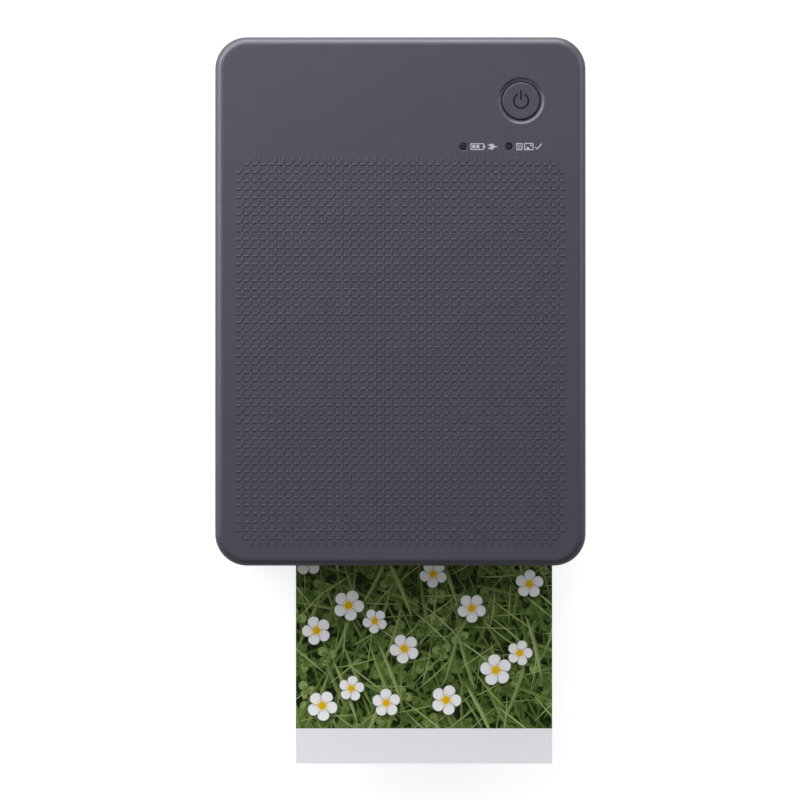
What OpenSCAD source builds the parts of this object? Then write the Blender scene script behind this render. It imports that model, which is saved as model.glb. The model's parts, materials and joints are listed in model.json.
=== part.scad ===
// Compact dye-sublimation photo printer with a print part way out of its slot.
// X runs across the body, +Y points to the end with the power button, +Z is up.
// The origin is on the table, under the middle of the body.

/* [Body] */
// Distance from the left side of the body to the paper, for the gears and the motor
drive_zone_w = 21.75; // [21:0.05:26]
// Distance from the right side of the body to the paper, for the cassette's end and the door
door_zone_w = 8.45; // [8.2:0.05:10]
// Length of the bay behind the paper, for the battery and the main board
rear_bay_l = 29.9; // [29.4:0.1:36]
// Room between the ink cassette and the inner deck
headroom = 1.555; // [1.5:0.005:3]
// Plan radius of the four corners
corner_r = 8.8; // [7.5:0.1:10]
// Radius rolled along the edge of the top face
top_edge_r = 2.6; // [1.8:0.1:3]
// Radius rolled along the edge of the underside
base_edge_r = 2; // [1:0.1:2.6]
// Wall of both mouldings
wall_t = 1.8; // [1.4:0.1:2]
// Height of the top cover, from its seam to the top face
cover_h = 4.5; // [4.2:0.1:4.8]
// Thickness of the cover's top plate
cover_t = 2; // [1.6:0.1:2.2]
// Thickness of the case floor
floor_t = 1.8; // [1.4:0.1:2]
// Thickness of the inner deck
deck_t = 1.4; // [1:0.1:1.5]
// Air between two pieces that don't touch
gap = 0.3; // [0.2:0.05:0.4]

/* [Feet and screws] */
// Height that the feet stand below the case
foot_h = 0.8; // [0.5:0.1:1.2]
// Radius of a rubber foot
foot_r = 5; // [4:0.1:6]
// Distance of a foot's centre from each side wall
foot_inset = 11; // [10:0.1:13]
// Shank radius of the case and deck screws
screw_r = 1; // [0.8:0.05:1.2]
// Head radius of the case and deck screws
screw_head_r = 1.6; // [1.5:0.05:1.7]
// Length of a screw under its head
screw_l = 7; // [5:0.5:9]

/* [Button and lamps] */
// Distance from the right side to the middle of the button
button_from_side = 17.9; // [16:0.1:21]
// Distance from the rear end to the middle of the button
button_from_rear = 17.75; // [16:0.05:18.5]
// Radius of the button cap
button_r = 5.05; // [4.5:0.05:5.4]
// Width of the dish round the button
dish_w = 1.1; // [0.8:0.05:1.4]
// Depth of the dish at the button
dish_depth = 0.45; // [0.3:0.05:0.6]
// Travel of the power button
button_travel = 0.6; // [0.4:0.05:0.7]
// Radius of the two lamps
lamp_r = 1; // [0.8:0.05:1.2]
// Distance from the rear end to the row of lamps
lamp_from_rear = 30.4; // [29.6:0.1:30.8]
// Distance from the right side to the status lamp
status_from_side = 21.2; // [18:0.1:24]
// Distance between the two lamps
lamp_pitch = 12.6; // [10:0.05:14]

/* [Paper] */
// Width of a sheet
paper_w = 72; // [70:0.1:72.5]
// Length of a sheet
paper_l = 85; // [84:0.1:86]
// Thickness of a sheet
paper_t = 0.25; // [0.2:0.01:0.3]
// Sheets left in the tray
sheet_count = 8; // [4:1:8]
// Height of the paper path above the table
paper_z = 12.6; // [12.4:0.05:12.8]
// Length of the print outside the slot
print_out = 56.5; // [40:0.1:60]

/* [Rollers] */
// Radius of the steel feed roller
feed_r = 2.5; // [2.3:0.05:2.6]
// Radius of the pinch roller
pinch_r = 1.6; // [1.4:0.05:1.7]
// Radius of the rubber platen
platen_r = 4; // [3.5:0.05:4.2]
// Radius of the pickup tyres
pickup_r = 5; // [4.6:0.05:5.2]
// Shaft radius of the feed, platen and pickup rollers
shaft_r = 1.5; // [1.3:0.05:1.6]
// Shaft radius of the pinch roller
pinch_shaft_r = 1; // [0.8:0.05:1.1]
// Distance from the outside of the slot to the feed roller
feed_from_front = 14.4; // [14:0.1:14.8]
// Distance between the feed nip and the print head's nip
nip_pitch = 9.9; // [9.7:0.1:10]
// Radial clearance of a shaft in its bore
running = 0.05; // [0.03:0.01:0.08]
// Thickness of the chassis side plates
plate_t = 1; // [0.8:0.05:1.2]

/* [Gears] */
// Module of the gears
gear_m = 0.5; // [0.48:0.01:0.5]
// Width of a gear
gear_w = 2.4; // [2:0.1:2.5]
// Teeth of the feed roller's gear
feed_teeth = 24; // [22:1:24]
// Teeth of the idler's large gear
idler_teeth = 30; // [28:1:30]
// Teeth of the idler's small gear, the link gear and the motor pinion
small_teeth = 12; // [12:1:13]
// Teeth of the clutch and pickup gears
clutch_teeth = 14; // [13:1:14]
// Tooth thinning for backlash, on each gear
backlash = 0.1; // [0.08:0.01:0.14]
// Radius of the steel gear posts
post_r = 1.2; // [1:0.05:1.3]

/* [Ink cassette] */
// Radius of the spools' cores
core_r = 2.2; // [2:0.05:2.4]
// Radius of the used film on the take-up spool
takeup_film_r = 3.2; // [2.8:0.1:3.7]
// Radius of the fresh film on the supply spool
supply_film_r = 3.6; // [2.8:0.1:3.7]
// Inside radius of the two film chambers
chamber_r = 4.1; // [4:0.05:4.15]
// Wall of the cassette
cassette_t = 0.8; // [0.6:0.05:0.85]
// Thickness of the film
film_t = 0.06; // [0.05:0.01:0.08]
// Travel of the print head when it lifts
head_lift = 2; // [1:0.1:2.2]

/* [Covers] */
// Radius of the hinge knuckle along the rear of the cover
knuckle_r = 3.1; // [2.9:0.05:3.2]
// Radius of the cover's hinge pin
hinge_pin_r = 1; // [0.8:0.05:1.1]
// Distance of the hinge lugs from each side of the body
lug_from_side = 17.1; // [13:0.1:23]
// Width of a hinge lug
lug_w = 6; // [4:0.5:8]
// Angle that the cover opens to
cover_open = 80; // [60:1:80]
// Length of the cassette door
door_l = 40.4; // [40:0.1:41]
// Height of the cassette door
door_h = 20.6; // [20:0.1:20.8]
// Radius of the door's hinge knuckle
door_knuckle_r = 1.6; // [1.4:0.05:1.7]
// Radius of the door's hinge pin
door_pin_r = 0.75; // [0.6:0.05:0.8]

/* [Power] */
// Length of the battery pack across the body
battery_l = 72; // [60:1:76]
// Width of the battery pack
battery_w = 19; // [16:0.5:20]
// Height of the battery pack
battery_h = 14; // [10:0.5:15]
// Thickness of the main board
board_t = 1.2; // [1:0.1:1.6]
// Width of the charging socket's opening
socket_w = 8.94; // [8.5:0.02:9.2]
// Height of the charging socket's opening
socket_h = 3.26; // [3:0.02:3.4]

/* [Hidden] */
$fn = 48;

eps = 0.01;                                  // overlap of a cut past a face
touch = 0.02;                                // air left where two moving pieces meet
tray_t = 1.2;
tray_gap = 0.7;                              // air at each end of the paper in the tray
body_w = drive_zone_w + paper_w + door_zone_w;
body_l = feed_from_front + nip_pitch + platen_r + paper_l + 2 * tray_gap + tray_t + rear_bay_l;
chamber_out = chamber_r + cassette_t;
chamber_z = paper_z + paper_t / 2 + touch + 2 * pinch_r + 0.5 + chamber_out;
deck_z = chamber_z + chamber_out + headroom;
deck_top = deck_z + deck_t;
plate_z = deck_top + 1.7;                    // underside of the cover's top plate
body_h = plate_z + cover_t;
front_y = -body_l / 2;
rear_y = body_l / 2;
side_x = body_w / 2;
seam_z = body_h - cover_h;
floor_z = foot_h + floor_t;
case_d = seam_z - foot_h;

button_x = side_x - button_from_side;
button_y = rear_y - button_from_rear;
charge_x = side_x - status_from_side - lamp_pitch;
lamp_y = rear_y - lamp_from_rear;
lamp_sunk = 0.35;                            // from the top face down to a lamp's end
button_hole_r = button_r + gap;
dish_r = button_hole_r + dish_w;
button_top = body_h - dish_depth + 0.1;
flange_r = button_hole_r + 1;
flange_t = 0.9;

paper_x = paper_w / 2 + drive_zone_w - side_x;
paper_low = paper_z - paper_t / 2;
paper_top = paper_z + paper_t / 2;
feed_y = front_y + feed_from_front;
head_y = feed_y + nip_pitch;
feed_z = paper_low - touch - feed_r;
pinch_z = paper_top + touch + pinch_r;
platen_z = paper_low - touch - platen_r;
plate_in = paper_w / 2 + 2.5;                // centre line of the paper to a chassis plate
left_in = paper_x - plate_in;
right_in = paper_x + plate_in;
left_out = left_in - plate_t;
right_out = right_in + plate_t;
plate_front = head_y - 17;
plate_rear = head_y + 28.3;
plate_top = deck_z - 0.2;
roller_l = paper_w + 0.9;
spring_x = paper_w * 0.3;                    // head springs and cover tabs, from the paper's middle
tyre_x = paper_w * 0.19;
leaf_x = paper_w * 0.28;

takeup_y = head_y - chamber_out - 3.8;
supply_y = head_y + chamber_out + 4.5;
cassette_left = left_in + 0.5;
cassette_right = right_in - 0.15;
cassette_end = side_x - wall_t - 0.9;
cap_t = 1.2;
journal_r = core_r - 0.6;
film_rest = [head_y, paper_top + 0.055];     // film under the head, and where it turns up on each side
film_in = film_rest + [4.2, 3.42];
film_out = film_rest + [-4.2, 3.42];

pickup_y = plate_rear - 6.2;
pickup_z = paper_top + touch + pickup_r;
stack_front = head_y + platen_r + tray_gap;
stack_top = paper_low - 0.275;
stack_h = sheet_count * paper_t;
stack_low = stack_top - stack_h;
lift_t = 0.9;
lift_low = stack_low - lift_t - touch;
tray_in = paper_w / 2 + 0.6;
tray_floor = stack_top - 8 * 0.25 - lift_t - 3.1;
tray_rear = stack_front + paper_l + tray_gap;
well_front = plate_rear + 1.8;
lift_pin_r = 0.7;
lift_pivot = [tray_rear - 2.4, lift_low + lift_t / 2 - 0.3];

layer_a = left_out - 0.2 - gear_w;           // gears next to the chassis plate
layer_b = layer_a - 0.2 - gear_w;            // gears next to the motor
mesh_gap = 0.05;
idler_at = [feed_y, feed_z] + gear_reach(feed_teeth, small_teeth) * [cos(30), sin(30)];
motor_at = idler_at + gear_reach(idler_teeth, small_teeth) * [1, 0];
feed_at = [feed_y, feed_z];
takeup_at = [takeup_y, chamber_z];
supply_at = [supply_y, chamber_z];
pickup_at = [pickup_y, pickup_z];
link_at = between(feed_at, takeup_at, gear_reach(feed_teeth, small_teeth),
    gear_reach(small_teeth, clutch_teeth), 1);
transfer_at = between(motor_at, pickup_at, gear_reach(small_teeth, feed_teeth),
    gear_reach(feed_teeth, clutch_teeth), -1);
feed_phase = 0;
idler_phase = mesh_phase(feed_at, idler_at, feed_phase, feed_teeth, small_teeth);
pinion_phase = mesh_phase(idler_at, motor_at, idler_phase, idler_teeth, small_teeth);
link_phase = mesh_phase(feed_at, link_at, feed_phase, feed_teeth, small_teeth);
clutch_phase = mesh_phase(link_at, takeup_at, link_phase, small_teeth, clutch_teeth);
transfer_phase = mesh_phase(motor_at, transfer_at, pinion_phase, small_teeth, feed_teeth);
pickup_phase = mesh_phase(transfer_at, pickup_at, transfer_phase, feed_teeth, clutch_teeth);

lug_x = side_x - lug_from_side;
hinge_y = rear_y - knuckle_r - 0.1;
hinge_z = seam_z - 1.2;
hinge_pin_l = 2 * lug_x + 3 * lug_w;
lug_r = knuckle_r - gap;
relief_r = knuckle_r + gap + 0.05;
knuckle_in = 0.03;                           // the knuckle is drawn in from the cover's outside

door_front = max(takeup_y - chamber_out - 0.1, front_y + corner_r + 1.5);
door_rear = door_front + door_l;
door_low = seam_z - 0.8 - door_h;
door_x = side_x - door_knuckle_r;
door_z = door_low + door_knuckle_r;
door_lug = 2.6;

board_z = floor_z + 18.4;
board_front = tray_rear + tray_t + 2.4;
led_y = board_front + 1.4;
board_rear = hinge_y - 4.2;
board_w = body_w - 2 * wall_t - 4.6;
socket_y = rear_y - 18.5;
standoff_x = board_w / 2 - 3.2;
standoff_ys = [board_front + 2.6, board_rear - 2.6];
standoff_r = 1.9;
motor_r = 7;
bracket_t = 0.8;
bracket_x = layer_b - 0.3 - bracket_t;
motor_l = bracket_x + side_x - wall_t - 0.5;
boss_r = 1.75;
boss_x = side_x - wall_t - 1.1 - screw_head_r;    // keeps the screw's head inside the lip
boss_places = [
    [-side_x + 5.6, front_y + 6.9],
    [boss_x, door_rear + 4.6],
    [-boss_x, rear_y - 36.9],
    [boss_x, rear_y - 36.9]
];
foot_places = [for (sx = [-1, 1], sy = [-1, 1]) [sx * (side_x - foot_inset), sy * (rear_y - foot_inset - 2)]];

// ---- functions ----

function gear_reach(n1, n2) = gear_m * (n1 + n2) / 2 + mesh_gap;

// Point at distance d1 from a and d2 from b, on the side given by hand
function between(a, b, d1, d2, hand) =
    let (d = norm(b - a), u = (b - a) / d, along = (d1 * d1 - d2 * d2 + d * d) / (2 * d))
    a + along * u + hand * sqrt(d1 * d1 - along * along) * [-u[1], u[0]];

// Angle of a tooth of gear 2 that meshes with gear 1
function mesh_phase(a, b, phase, n1, n2) =
    let (phi = atan2(b[1] - a[1], b[0] - a[0])) phi + 180 - (180 - (phi - phase) * n1) / n2;

function involute_angle(base, r) = let (k = acos(base / max(r, base))) tan(k) * 180 / PI - k;

// Half the tooth's angle at radius r
function tooth_half(n, r) =
    let (pitch = gear_m * n / 2, base = pitch * cos(22))
    90 / n - backlash / pitch * 90 / PI + involute_angle(base, pitch) - involute_angle(base, r);

function gear_points(n, phase) =
    let (
        pitch = gear_m * n / 2,
        root = pitch - 1.2 * gear_m,
        tip = pitch + 0.9 * gear_m,
        base = max(root + 0.02, pitch * cos(22)),
        radii = [root, for (i = [0 : 3]) base + (tip - base) * i / 3]
    )
    [for (k = [0 : n - 1]) each concat(
        [for (i = [0 : 4]) polar(radii[i], phase + k * 360 / n - tooth_half(n, max(radii[i], base)))],
        [for (i = [4 : -1 : 0]) polar(radii[i], phase + k * 360 / n + tooth_half(n, max(radii[i], base)))]
    )];

function polar(r, a) = r * [cos(a), sin(a)];

// Where a straight film from point p meets a roll at c, on the side given by hand
function tangent(p, c, r, hand) =
    let (v = p - c, a = atan2(v[1], v[0]) + hand * acos(r / norm(v))) c + polar(r, a);

// Outline of a thin strip along a path
function strip(path, t) =
    let (
        last = len(path) - 1,
        side = [for (i = [0 : last])
            let (d = path[min(i + 1, last)] - path[max(i - 1, 0)]) t / 2 * [-d[1], d[0]] / norm(d)]
    )
    concat([for (i = [0 : last]) path[i] + side[i]], [for (i = [last : -1 : 0]) path[i] - side[i]]);

// ---- shapes ----

// Plan outline of the body, drawn in by inset
module outline(inset = 0) {
    r = corner_r - inset;
    for (sx = [-1, 1], sy = [-1, 1]) {
        translate([sx * (side_x - corner_r), sy * (rear_y - corner_r)]) circle(r);
    }
    square([body_w - 2 * inset, body_l - 2 * corner_r], center = true);
    square([body_w - 2 * corner_r, body_l - 2 * inset], center = true);
}

// Half section of a moulding's edge: r wide, h tall, its outer corners rolled
module edge_section(r, h, top_r, low_r) {
    difference() {
        square([r, h]);
        if (top_r > 0) translate([r - top_r, h - top_r]) difference() {
            square([top_r + 1, top_r + 1]);
            circle(top_r);
        }
        if (low_r > 0) translate([r - low_r, -1]) difference() {
            square([low_r + 1, low_r + 1]);
            translate([0, low_r + 1]) circle(low_r);
        }
    }
}

// Block with the body's outline drawn in by inset, with rolled top and lower edges
module rolled_block(inset, h, top_r, low_r) {
    r = corner_r - inset;
    long = body_l - 2 * corner_r;
    wide = body_w - 2 * corner_r;
    for (i = [0 : 3]) {
        sx = (i == 0 || i == 3) ? 1 : -1;
        sy = i < 2 ? 1 : -1;
        translate([sx * wide / 2, sy * long / 2, 0]) rotate([0, 0, 90 * i])
            rotate_extrude(angle = 90) edge_section(r, h, top_r, low_r);
    }
    for (i = [0, 1]) rotate([0, 0, 180 * i]) {
        translate([wide / 2, long / 2, 0]) rotate([90, 0, 0])
            linear_extrude(long) edge_section(r, h, top_r, low_r);
        translate([-wide / 2, long / 2, 0]) rotate([90, 0, 90])
            linear_extrude(wide) edge_section(r, h, top_r, low_r);
    }
    translate([-wide / 2, -long / 2, 0]) cube([wide, long, h]);
}

// Draws a (Y, Z) section and extrudes it from x0 to x1
module across(x0, x1) {
    translate([x0, 0, 0]) rotate([90, 0, 90]) linear_extrude(x1 - x0) children();
}

// Rod along X between x0 and x1, centred on the (Y, Z) point at
module rod_x(at, r, x0, x1) {
    translate([x0, at[0], at[1]]) rotate([0, 90, 0]) cylinder(r = r, h = x1 - x0);
}

module rod_y(x, z, r, y0, y1) {
    translate([x, y0, z]) rotate([-90, 0, 0]) cylinder(r = r, h = y1 - y0);
}

module box(lo, hi) {
    translate(lo) cube(hi - lo);
}

module gear(at, n, phase, x0, bore) {
    difference() {
        across(x0, x0 + gear_w) translate(at) polygon(gear_points(n, phase));
        rod_x(at, bore, x0 - 1, x0 + gear_w + 1);
    }
}

// Pan-head screw, its head's underside at the origin, pointing down
module screw(r, head_r, l) {
    cylinder(r = r, h = l);
    translate([0, 0, -0.6]) difference() {
        cylinder(r = head_r, h = 0.6);
        translate([-head_r * 0.6, -0.2, -eps]) cube([head_r * 1.2, 0.4, 0.35]);
        translate([-0.2, -head_r * 0.6, -eps]) cube([0.4, head_r * 1.2, 0.35]);
    }
}

// Coil spring standing on the origin, as one unbroken tube
module coil(r, wire, h, turns) {
    sides = 6;
    rings = turns * 8;
    rise = (h - 2 * wire) / rings;
    points = [for (i = [0 : rings], k = [0 : sides - 1])
        let (a = i * 45, q = r + wire * cos(k * 60))
        [q * cos(a), q * sin(a), wire + i * rise + wire * sin(k * 60)]];
    wall = [for (i = [0 : rings - 1], k = [0 : sides - 1])
        let (n = (k + 1) % sides, p = i * sides)
        each [[p + k, p + sides + k, p + sides + n], [p + k, p + sides + n, p + n]]];
    ends = [[for (k = [0 : sides - 1]) k], [for (k = [sides - 1 : -1 : 0]) rings * sides + k]];
    polyhedron(points, concat(wall, ends), convexity = 10);
}

// ---- casing ----

module lower_case() {
    color([0.22, 0.22, 0.25]) difference() {
        union() {
            difference() {
                translate([0, 0, foot_h]) rolled_block(0, case_d, 0, base_edge_r);
                translate([0, 0, floor_z]) rolled_block(wall_t, case_d, 0, 1);
                rod_x([hinge_y, hinge_z], relief_r, -side_x - 1, side_x + 1);
                box([-side_x - 1, hinge_y, hinge_z - relief_r], [side_x + 1, rear_y + 1, seam_z + 1]);
            }
            alignment_lip();
            hinge_lugs();
            case_bosses();
            door_lugs();
            board_standoffs();
        }
        exit_cut();
        door_cut();
        socket_cut();
        foot_recesses();
        finger_scoops();
        rod_x([hinge_y, hinge_z], hinge_pin_r + running, -lug_x - lug_w, lug_x + lug_w);
        rod_y(door_x, door_z, door_pin_r + running, door_front - door_lug - gap, door_rear + door_lug + gap);
        for (p = boss_places) translate([p[0], p[1], 0]) {
            cylinder(r = screw_r * 0.8, h = deck_top);
            translate([0, 0, -1]) cylinder(r = screw_head_r + gap, h = foot_h + 2);
            translate([0, 0, foot_h + 0.9]) cylinder(r = screw_r, h = screw_l + 0.1);
            translate([0, 0, deck_z - screw_l]) cylinder(r = screw_r, h = screw_l + 1);
        }
    }
}

// Thin lip inside the cover's skirt, which closes the seam to light
module alignment_lip() {
    intersection() {
        translate([0, 0, seam_z - 1]) linear_extrude(2) difference() {
            outline(wall_t + 0.2);
            outline(wall_t + 1);
        }
        box([-side_x, front_y, 0], [side_x, hinge_y - relief_r - 1, body_h]);
    }
    translate([0, 0, seam_z - 2]) linear_extrude(1) intersection() {
        difference() {
            outline(wall_t / 2);
            outline(wall_t + 1);
        }
        translate([-side_x, front_y]) square([body_w, hinge_y - relief_r - 1 - front_y]);
    }
}

// The post under each lug stops short of the cover's skirt, which swings down behind it
module hinge_lugs() {
    for (s = [-1, 1]) {
        x = s * lug_x - lug_w / 2;
        rod_x([hinge_y, hinge_z], lug_r, x, x + lug_w);
        box([x, hinge_y - lug_r, hinge_z - 8], [x + lug_w, rear_y - wall_t + 0.2, hinge_z - relief_r]);
        box([x, hinge_y - lug_r, hinge_z - relief_r - 1], [x + lug_w, hinge_y + lug_r / 3, hinge_z]);
    }
}

module case_bosses() {
    for (p = boss_places) translate([p[0], p[1], foot_h]) cylinder(r = boss_r, h = deck_z - foot_h);
}

module door_lugs() {
    for (y = [door_front - gap - door_lug, door_rear + gap]) {
        box([door_x - 1.9, y, door_z - 1.6], [side_x - 1, y + door_lug, door_z + 1.6]);
    }
}

module board_standoffs() {
    for (s = [-1, 1], y = standoff_ys) translate([s * standoff_x, y, foot_h + 1]) difference() {
        cylinder(r = standoff_r, h = board_z - foot_h - 1);
        translate([0, 0, board_z - foot_h - 1 - screw_l + 2]) cylinder(r = screw_r * 0.9, h = screw_l);
    }
}

module exit_cut() {
    box([paper_x - paper_w / 2 - 2, front_y - 1, paper_z - 2.4],
        [paper_x + paper_w / 2 + 2, front_y + wall_t + 1, paper_z + 2.8]);
}

module door_cut() {
    box([side_x - wall_t - 1, door_front - gap, door_low - gap],
        [side_x + 1, door_rear + gap, door_low + door_h + gap]);
}

// Round-ended slot in the (Y, Z) plane
module slot_section(w, h) {
    for (s = [-1, 1]) translate([s * (w - h) / 2, 0]) circle(h / 2);
    square([w - h, h], center = true);
}

module socket_cut() {
    across(-side_x - 1, -side_x + wall_t + 1)
        translate([socket_y, board_z + board_t + socket_h / 2]) slot_section(socket_w + 0.6, socket_h + 0.6);
}

module foot_recesses() {
    for (p = foot_places) translate([p[0], p[1], 0]) cylinder(r = foot_r + 0.1, h = foot_h + 0.4);
}

module finger_scoops() {
    for (s = [-1, 1]) rod_y(s * (side_x + 2.4), seam_z, 3.4, -12, 8);
}

module rubber_feet() {
    color([0.08, 0.08, 0.09]) for (p = foot_places) translate([p[0], p[1], 0]) rotate_extrude() difference() {
        square([foot_r, foot_h + 0.4]);
        translate([foot_r - 0.4, 0]) difference() {
            translate([0, -1]) square([1.4, 1.4]);
            translate([0, 0.4]) circle(0.4);
        }
    }
}

module inner_deck() {
    color([0.16, 0.16, 0.18]) difference() {
        translate([0, 0, deck_z]) linear_extrude(deck_t) intersection() {
            outline(wall_t + 1.2);
            translate([-side_x, front_y]) square([body_w, hinge_y - relief_r - 0.6 - front_y]);
        }
        box([paper_x - tray_in, well_front, 0], [paper_x + tray_in, tray_rear, body_h]);
        translate([button_x, button_y, 0]) cylinder(r = flange_r + 1, h = body_h);
        for (x = [charge_x, charge_x + lamp_pitch]) translate([x, led_y, 0]) cylinder(r = 1.4, h = body_h);
        for (s = [-1, 1]) box([paper_x + s * spring_x - 6, front_y, 0],
            [paper_x + s * spring_x + 6, front_y + wall_t + 2.2, body_h]);
        for (p = boss_places) translate([p[0], p[1], 0]) cylinder(r = screw_r + 0.1, h = body_h);
        for (s = [-1, 1]) translate([s * lug_x, hinge_y - relief_r - 0.6, 0])
            cube([lug_w, 2, 2 * body_h], center = true);
    }
}

module exit_frame() {
    half = paper_w / 2;
    color([0.05, 0.05, 0.06]) difference() {
        union() {
            box([paper_x - half - 1.9, front_y + 0.5, paper_z - 2.3],
                [paper_x + half + 1.9, front_y + 8, paper_z + 2.7]);
            box([paper_x - half + 1, front_y + wall_t + 0.1, paper_z - 4.4],
                [paper_x + half - 1, front_y + wall_t + 1.1, paper_z + 4.4]);
        }
        across(paper_x - half - 0.6, paper_x + half + 0.6) polygon([
            [front_y, paper_z - 1.9], [front_y + 3, paper_z - 0.8], [front_y + 9, paper_z - 0.8],
            [front_y + 9, paper_z + 0.8], [front_y + 3, paper_z + 0.8], [front_y, paper_z + 2.3]
        ]);
    }
}

module top_cover() {
    color([0.33, 0.33, 0.37]) difference() {
        union() {
            difference() {
                translate([0, 0, seam_z]) rolled_block(0, cover_h, top_edge_r, 0);
                translate([0, 0, seam_z - 1]) rolled_block(wall_t, cover_h - cover_t + 1, 0, 0);
            }
            intersection() {
                translate([0, 0, seam_z - 6]) linear_extrude(cover_h + 5) outline(knuckle_in);
                rod_x([hinge_y, hinge_z], knuckle_r, -side_x + knuckle_in, side_x - knuckle_in);
            }
            cover_ribs();
            cover_tabs();
        }
        for (s = [-1, 1])
            rod_x([hinge_y, hinge_z], relief_r, s * lug_x - lug_w / 2 - gap, s * lug_x + lug_w / 2 + gap);
        rod_x([hinge_y, hinge_z], hinge_pin_r + running, -hinge_pin_l / 2 - gap, hinge_pin_l / 2 + gap);
        button_cut();
        for (x = [charge_x, charge_x + lamp_pitch]) translate([x, lamp_y, seam_z])
            cylinder(r = lamp_r + 0.03, h = cover_h + 1);
    }
}

// Stiffening ribs under the top plate, clear of the button and the lamps
module cover_ribs() {
    rib_t = 1;
    rib_h = 0.8;
    run = lamp_y - lamp_r - 14 - front_y;
    for (i = [1 : 5]) translate([-side_x + wall_t - 0.2, front_y + i * run / 5, plate_z - rib_h])
        cube([body_w - 2 * wall_t + 0.4, rib_t, rib_h + 0.2]);
    for (i = [-3, -1, 1, 3]) translate([i * body_w / 8.5, front_y + wall_t - 0.2, plate_z - rib_h])
        cube([rib_t, run + 2, rib_h + 0.2]);
    translate([button_x, button_y, plate_z - 0.5]) difference() {
        cylinder(r = flange_r + gap + 0.7, h = 0.7);
        translate([0, 0, -1]) cylinder(r = flange_r + gap, h = 3);
    }
}

// Two tabs that drop into the case behind its front wall
module cover_tabs() {
    for (s = [-1, 1]) {
        x = paper_x + s * spring_x;
        box([x - 5, front_y + wall_t + 1.2, deck_z - 2], [x + 5, front_y + wall_t + 2, plate_z + 0.2]);
    }
}

module button_cut() {
    translate([button_x, button_y, 0]) {
        cylinder(r = button_hole_r, h = body_h + 1);
        translate([0, 0, body_h - dish_depth])
            cylinder(r1 = button_hole_r, r2 = dish_r + eps, h = dish_depth + eps);
    }
}

module power_button() {
    edge = 0.3;
    color([0.3, 0.3, 0.34]) translate([button_x, button_y, 0]) rotate_extrude() union() {
        difference() {
            translate([0, plate_z - 0.4 - flange_t]) square([button_r, button_top - plate_z + 0.4 + flange_t]);
            translate([button_r - edge, button_top - edge]) difference() {
                square([edge + 1, edge + 1]);
                circle(edge);
            }
        }
        translate([0, plate_z - 0.3 - flange_t]) square([flange_r, flange_t]);
        translate([0, board_z + board_t + 3.6 + button_travel + 0.1])
            square([1.5, plate_z - board_z - board_t - 4 - button_travel]);
    }
}

module lamp(x) {
    color([0.1, 0.1, 0.12]) union() {
        translate([x, lamp_y, plate_z - 1]) cylinder(r = lamp_r, h = cover_t + 1 - lamp_sunk);
        box([x - 1.3, lamp_y - 1.3, plate_z - 1], [x + 1.3, led_y + 1, plate_z - touch]);
    }
}

module charge_lamp() {
    lamp(charge_x);
}

module status_lamp() {
    lamp(charge_x + lamp_pitch);
}

module cassette_door() {
    top = door_low + door_h;
    mid = (door_front + door_rear) / 2;
    color([0.22, 0.22, 0.25]) difference() {
        union() {
            box([side_x - wall_t, door_front, door_z], [side_x, door_rear, top]);
            rod_y(door_x, door_z, door_knuckle_r, door_front, door_rear);
            difference() {
                box([side_x - wall_t - 0.5, door_front + 1, door_z + 2.4],
                    [side_x - wall_t + 0.2, door_rear - 1, top - 1]);
                box([side_x - wall_t - 1, door_front + 2, door_z + 3.4],
                    [side_x - wall_t, door_rear - 2, top - 2]);
            }
        }
        rod_y(door_x, door_z, door_pin_r + running, door_front - 1, door_rear + 1);
        translate([side_x + 5.4, mid, top + 1.4]) rotate([90, 0, 0]) cylinder(r = 6.4, h = 14, center = true);
    }
}

module cover_hinge_pin() {
    color([0.7, 0.7, 0.72]) rod_x([hinge_y, hinge_z], hinge_pin_r, -hinge_pin_l / 2, hinge_pin_l / 2);
}

module door_hinge_pin() {
    color([0.7, 0.7, 0.72]) rod_y(door_x, door_z, door_pin_r, door_front - door_lug, door_rear + door_lug);
}

module case_screws() {
    color([0.15, 0.15, 0.16]) for (p = boss_places) translate([p[0], p[1], foot_h + 0.9 + 0.1])
        screw(screw_r - 0.05, screw_head_r, screw_l - 0.2);
}

module deck_screws() {
    color([0.6, 0.6, 0.62]) for (p = boss_places) translate([p[0], p[1], deck_top]) mirror([0, 0, 1])
        screw(screw_r - 0.05, screw_head_r, screw_l - 0.2);
}

module board_screws() {
    color([0.6, 0.6, 0.62]) for (s = [-1, 1], y = standoff_ys)
        translate([s * standoff_x, y, board_z + board_t]) mirror([0, 0, 1])
            screw(screw_r * 0.8, screw_head_r * 0.85, screw_l - 2.6);
}

// ---- chassis and drive ----

module plate_blank(x0) {
    box([x0, plate_front, floor_z], [x0 + plate_t, plate_rear, plate_top]);
}

module plate_holes(x0) {
    x1 = x0 + plate_t + 1;
    rod_x(feed_at, shaft_r + 1, x0 - 1, x1);
    rod_x([head_y, platen_z], shaft_r + 1, x0 - 1, x1);
    rod_x([feed_y, pinch_z], pinch_shaft_r + running, x0 - 1, x1);
    rod_x(pickup_at, shaft_r + running, x0 - 1, x1);
    box([x0 - 1, head_y - 1.9, chamber_z - 3.6], [x1, head_y + 1.9, chamber_z + 0.4 + head_lift]);
}

module chassis_plate_left() {
    color([0.72, 0.73, 0.75]) difference() {
        plate_blank(left_out);
        plate_holes(left_out);
        rod_x(takeup_at, journal_r + 0.6, left_out - 1, left_in + 1);
    }
}

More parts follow.
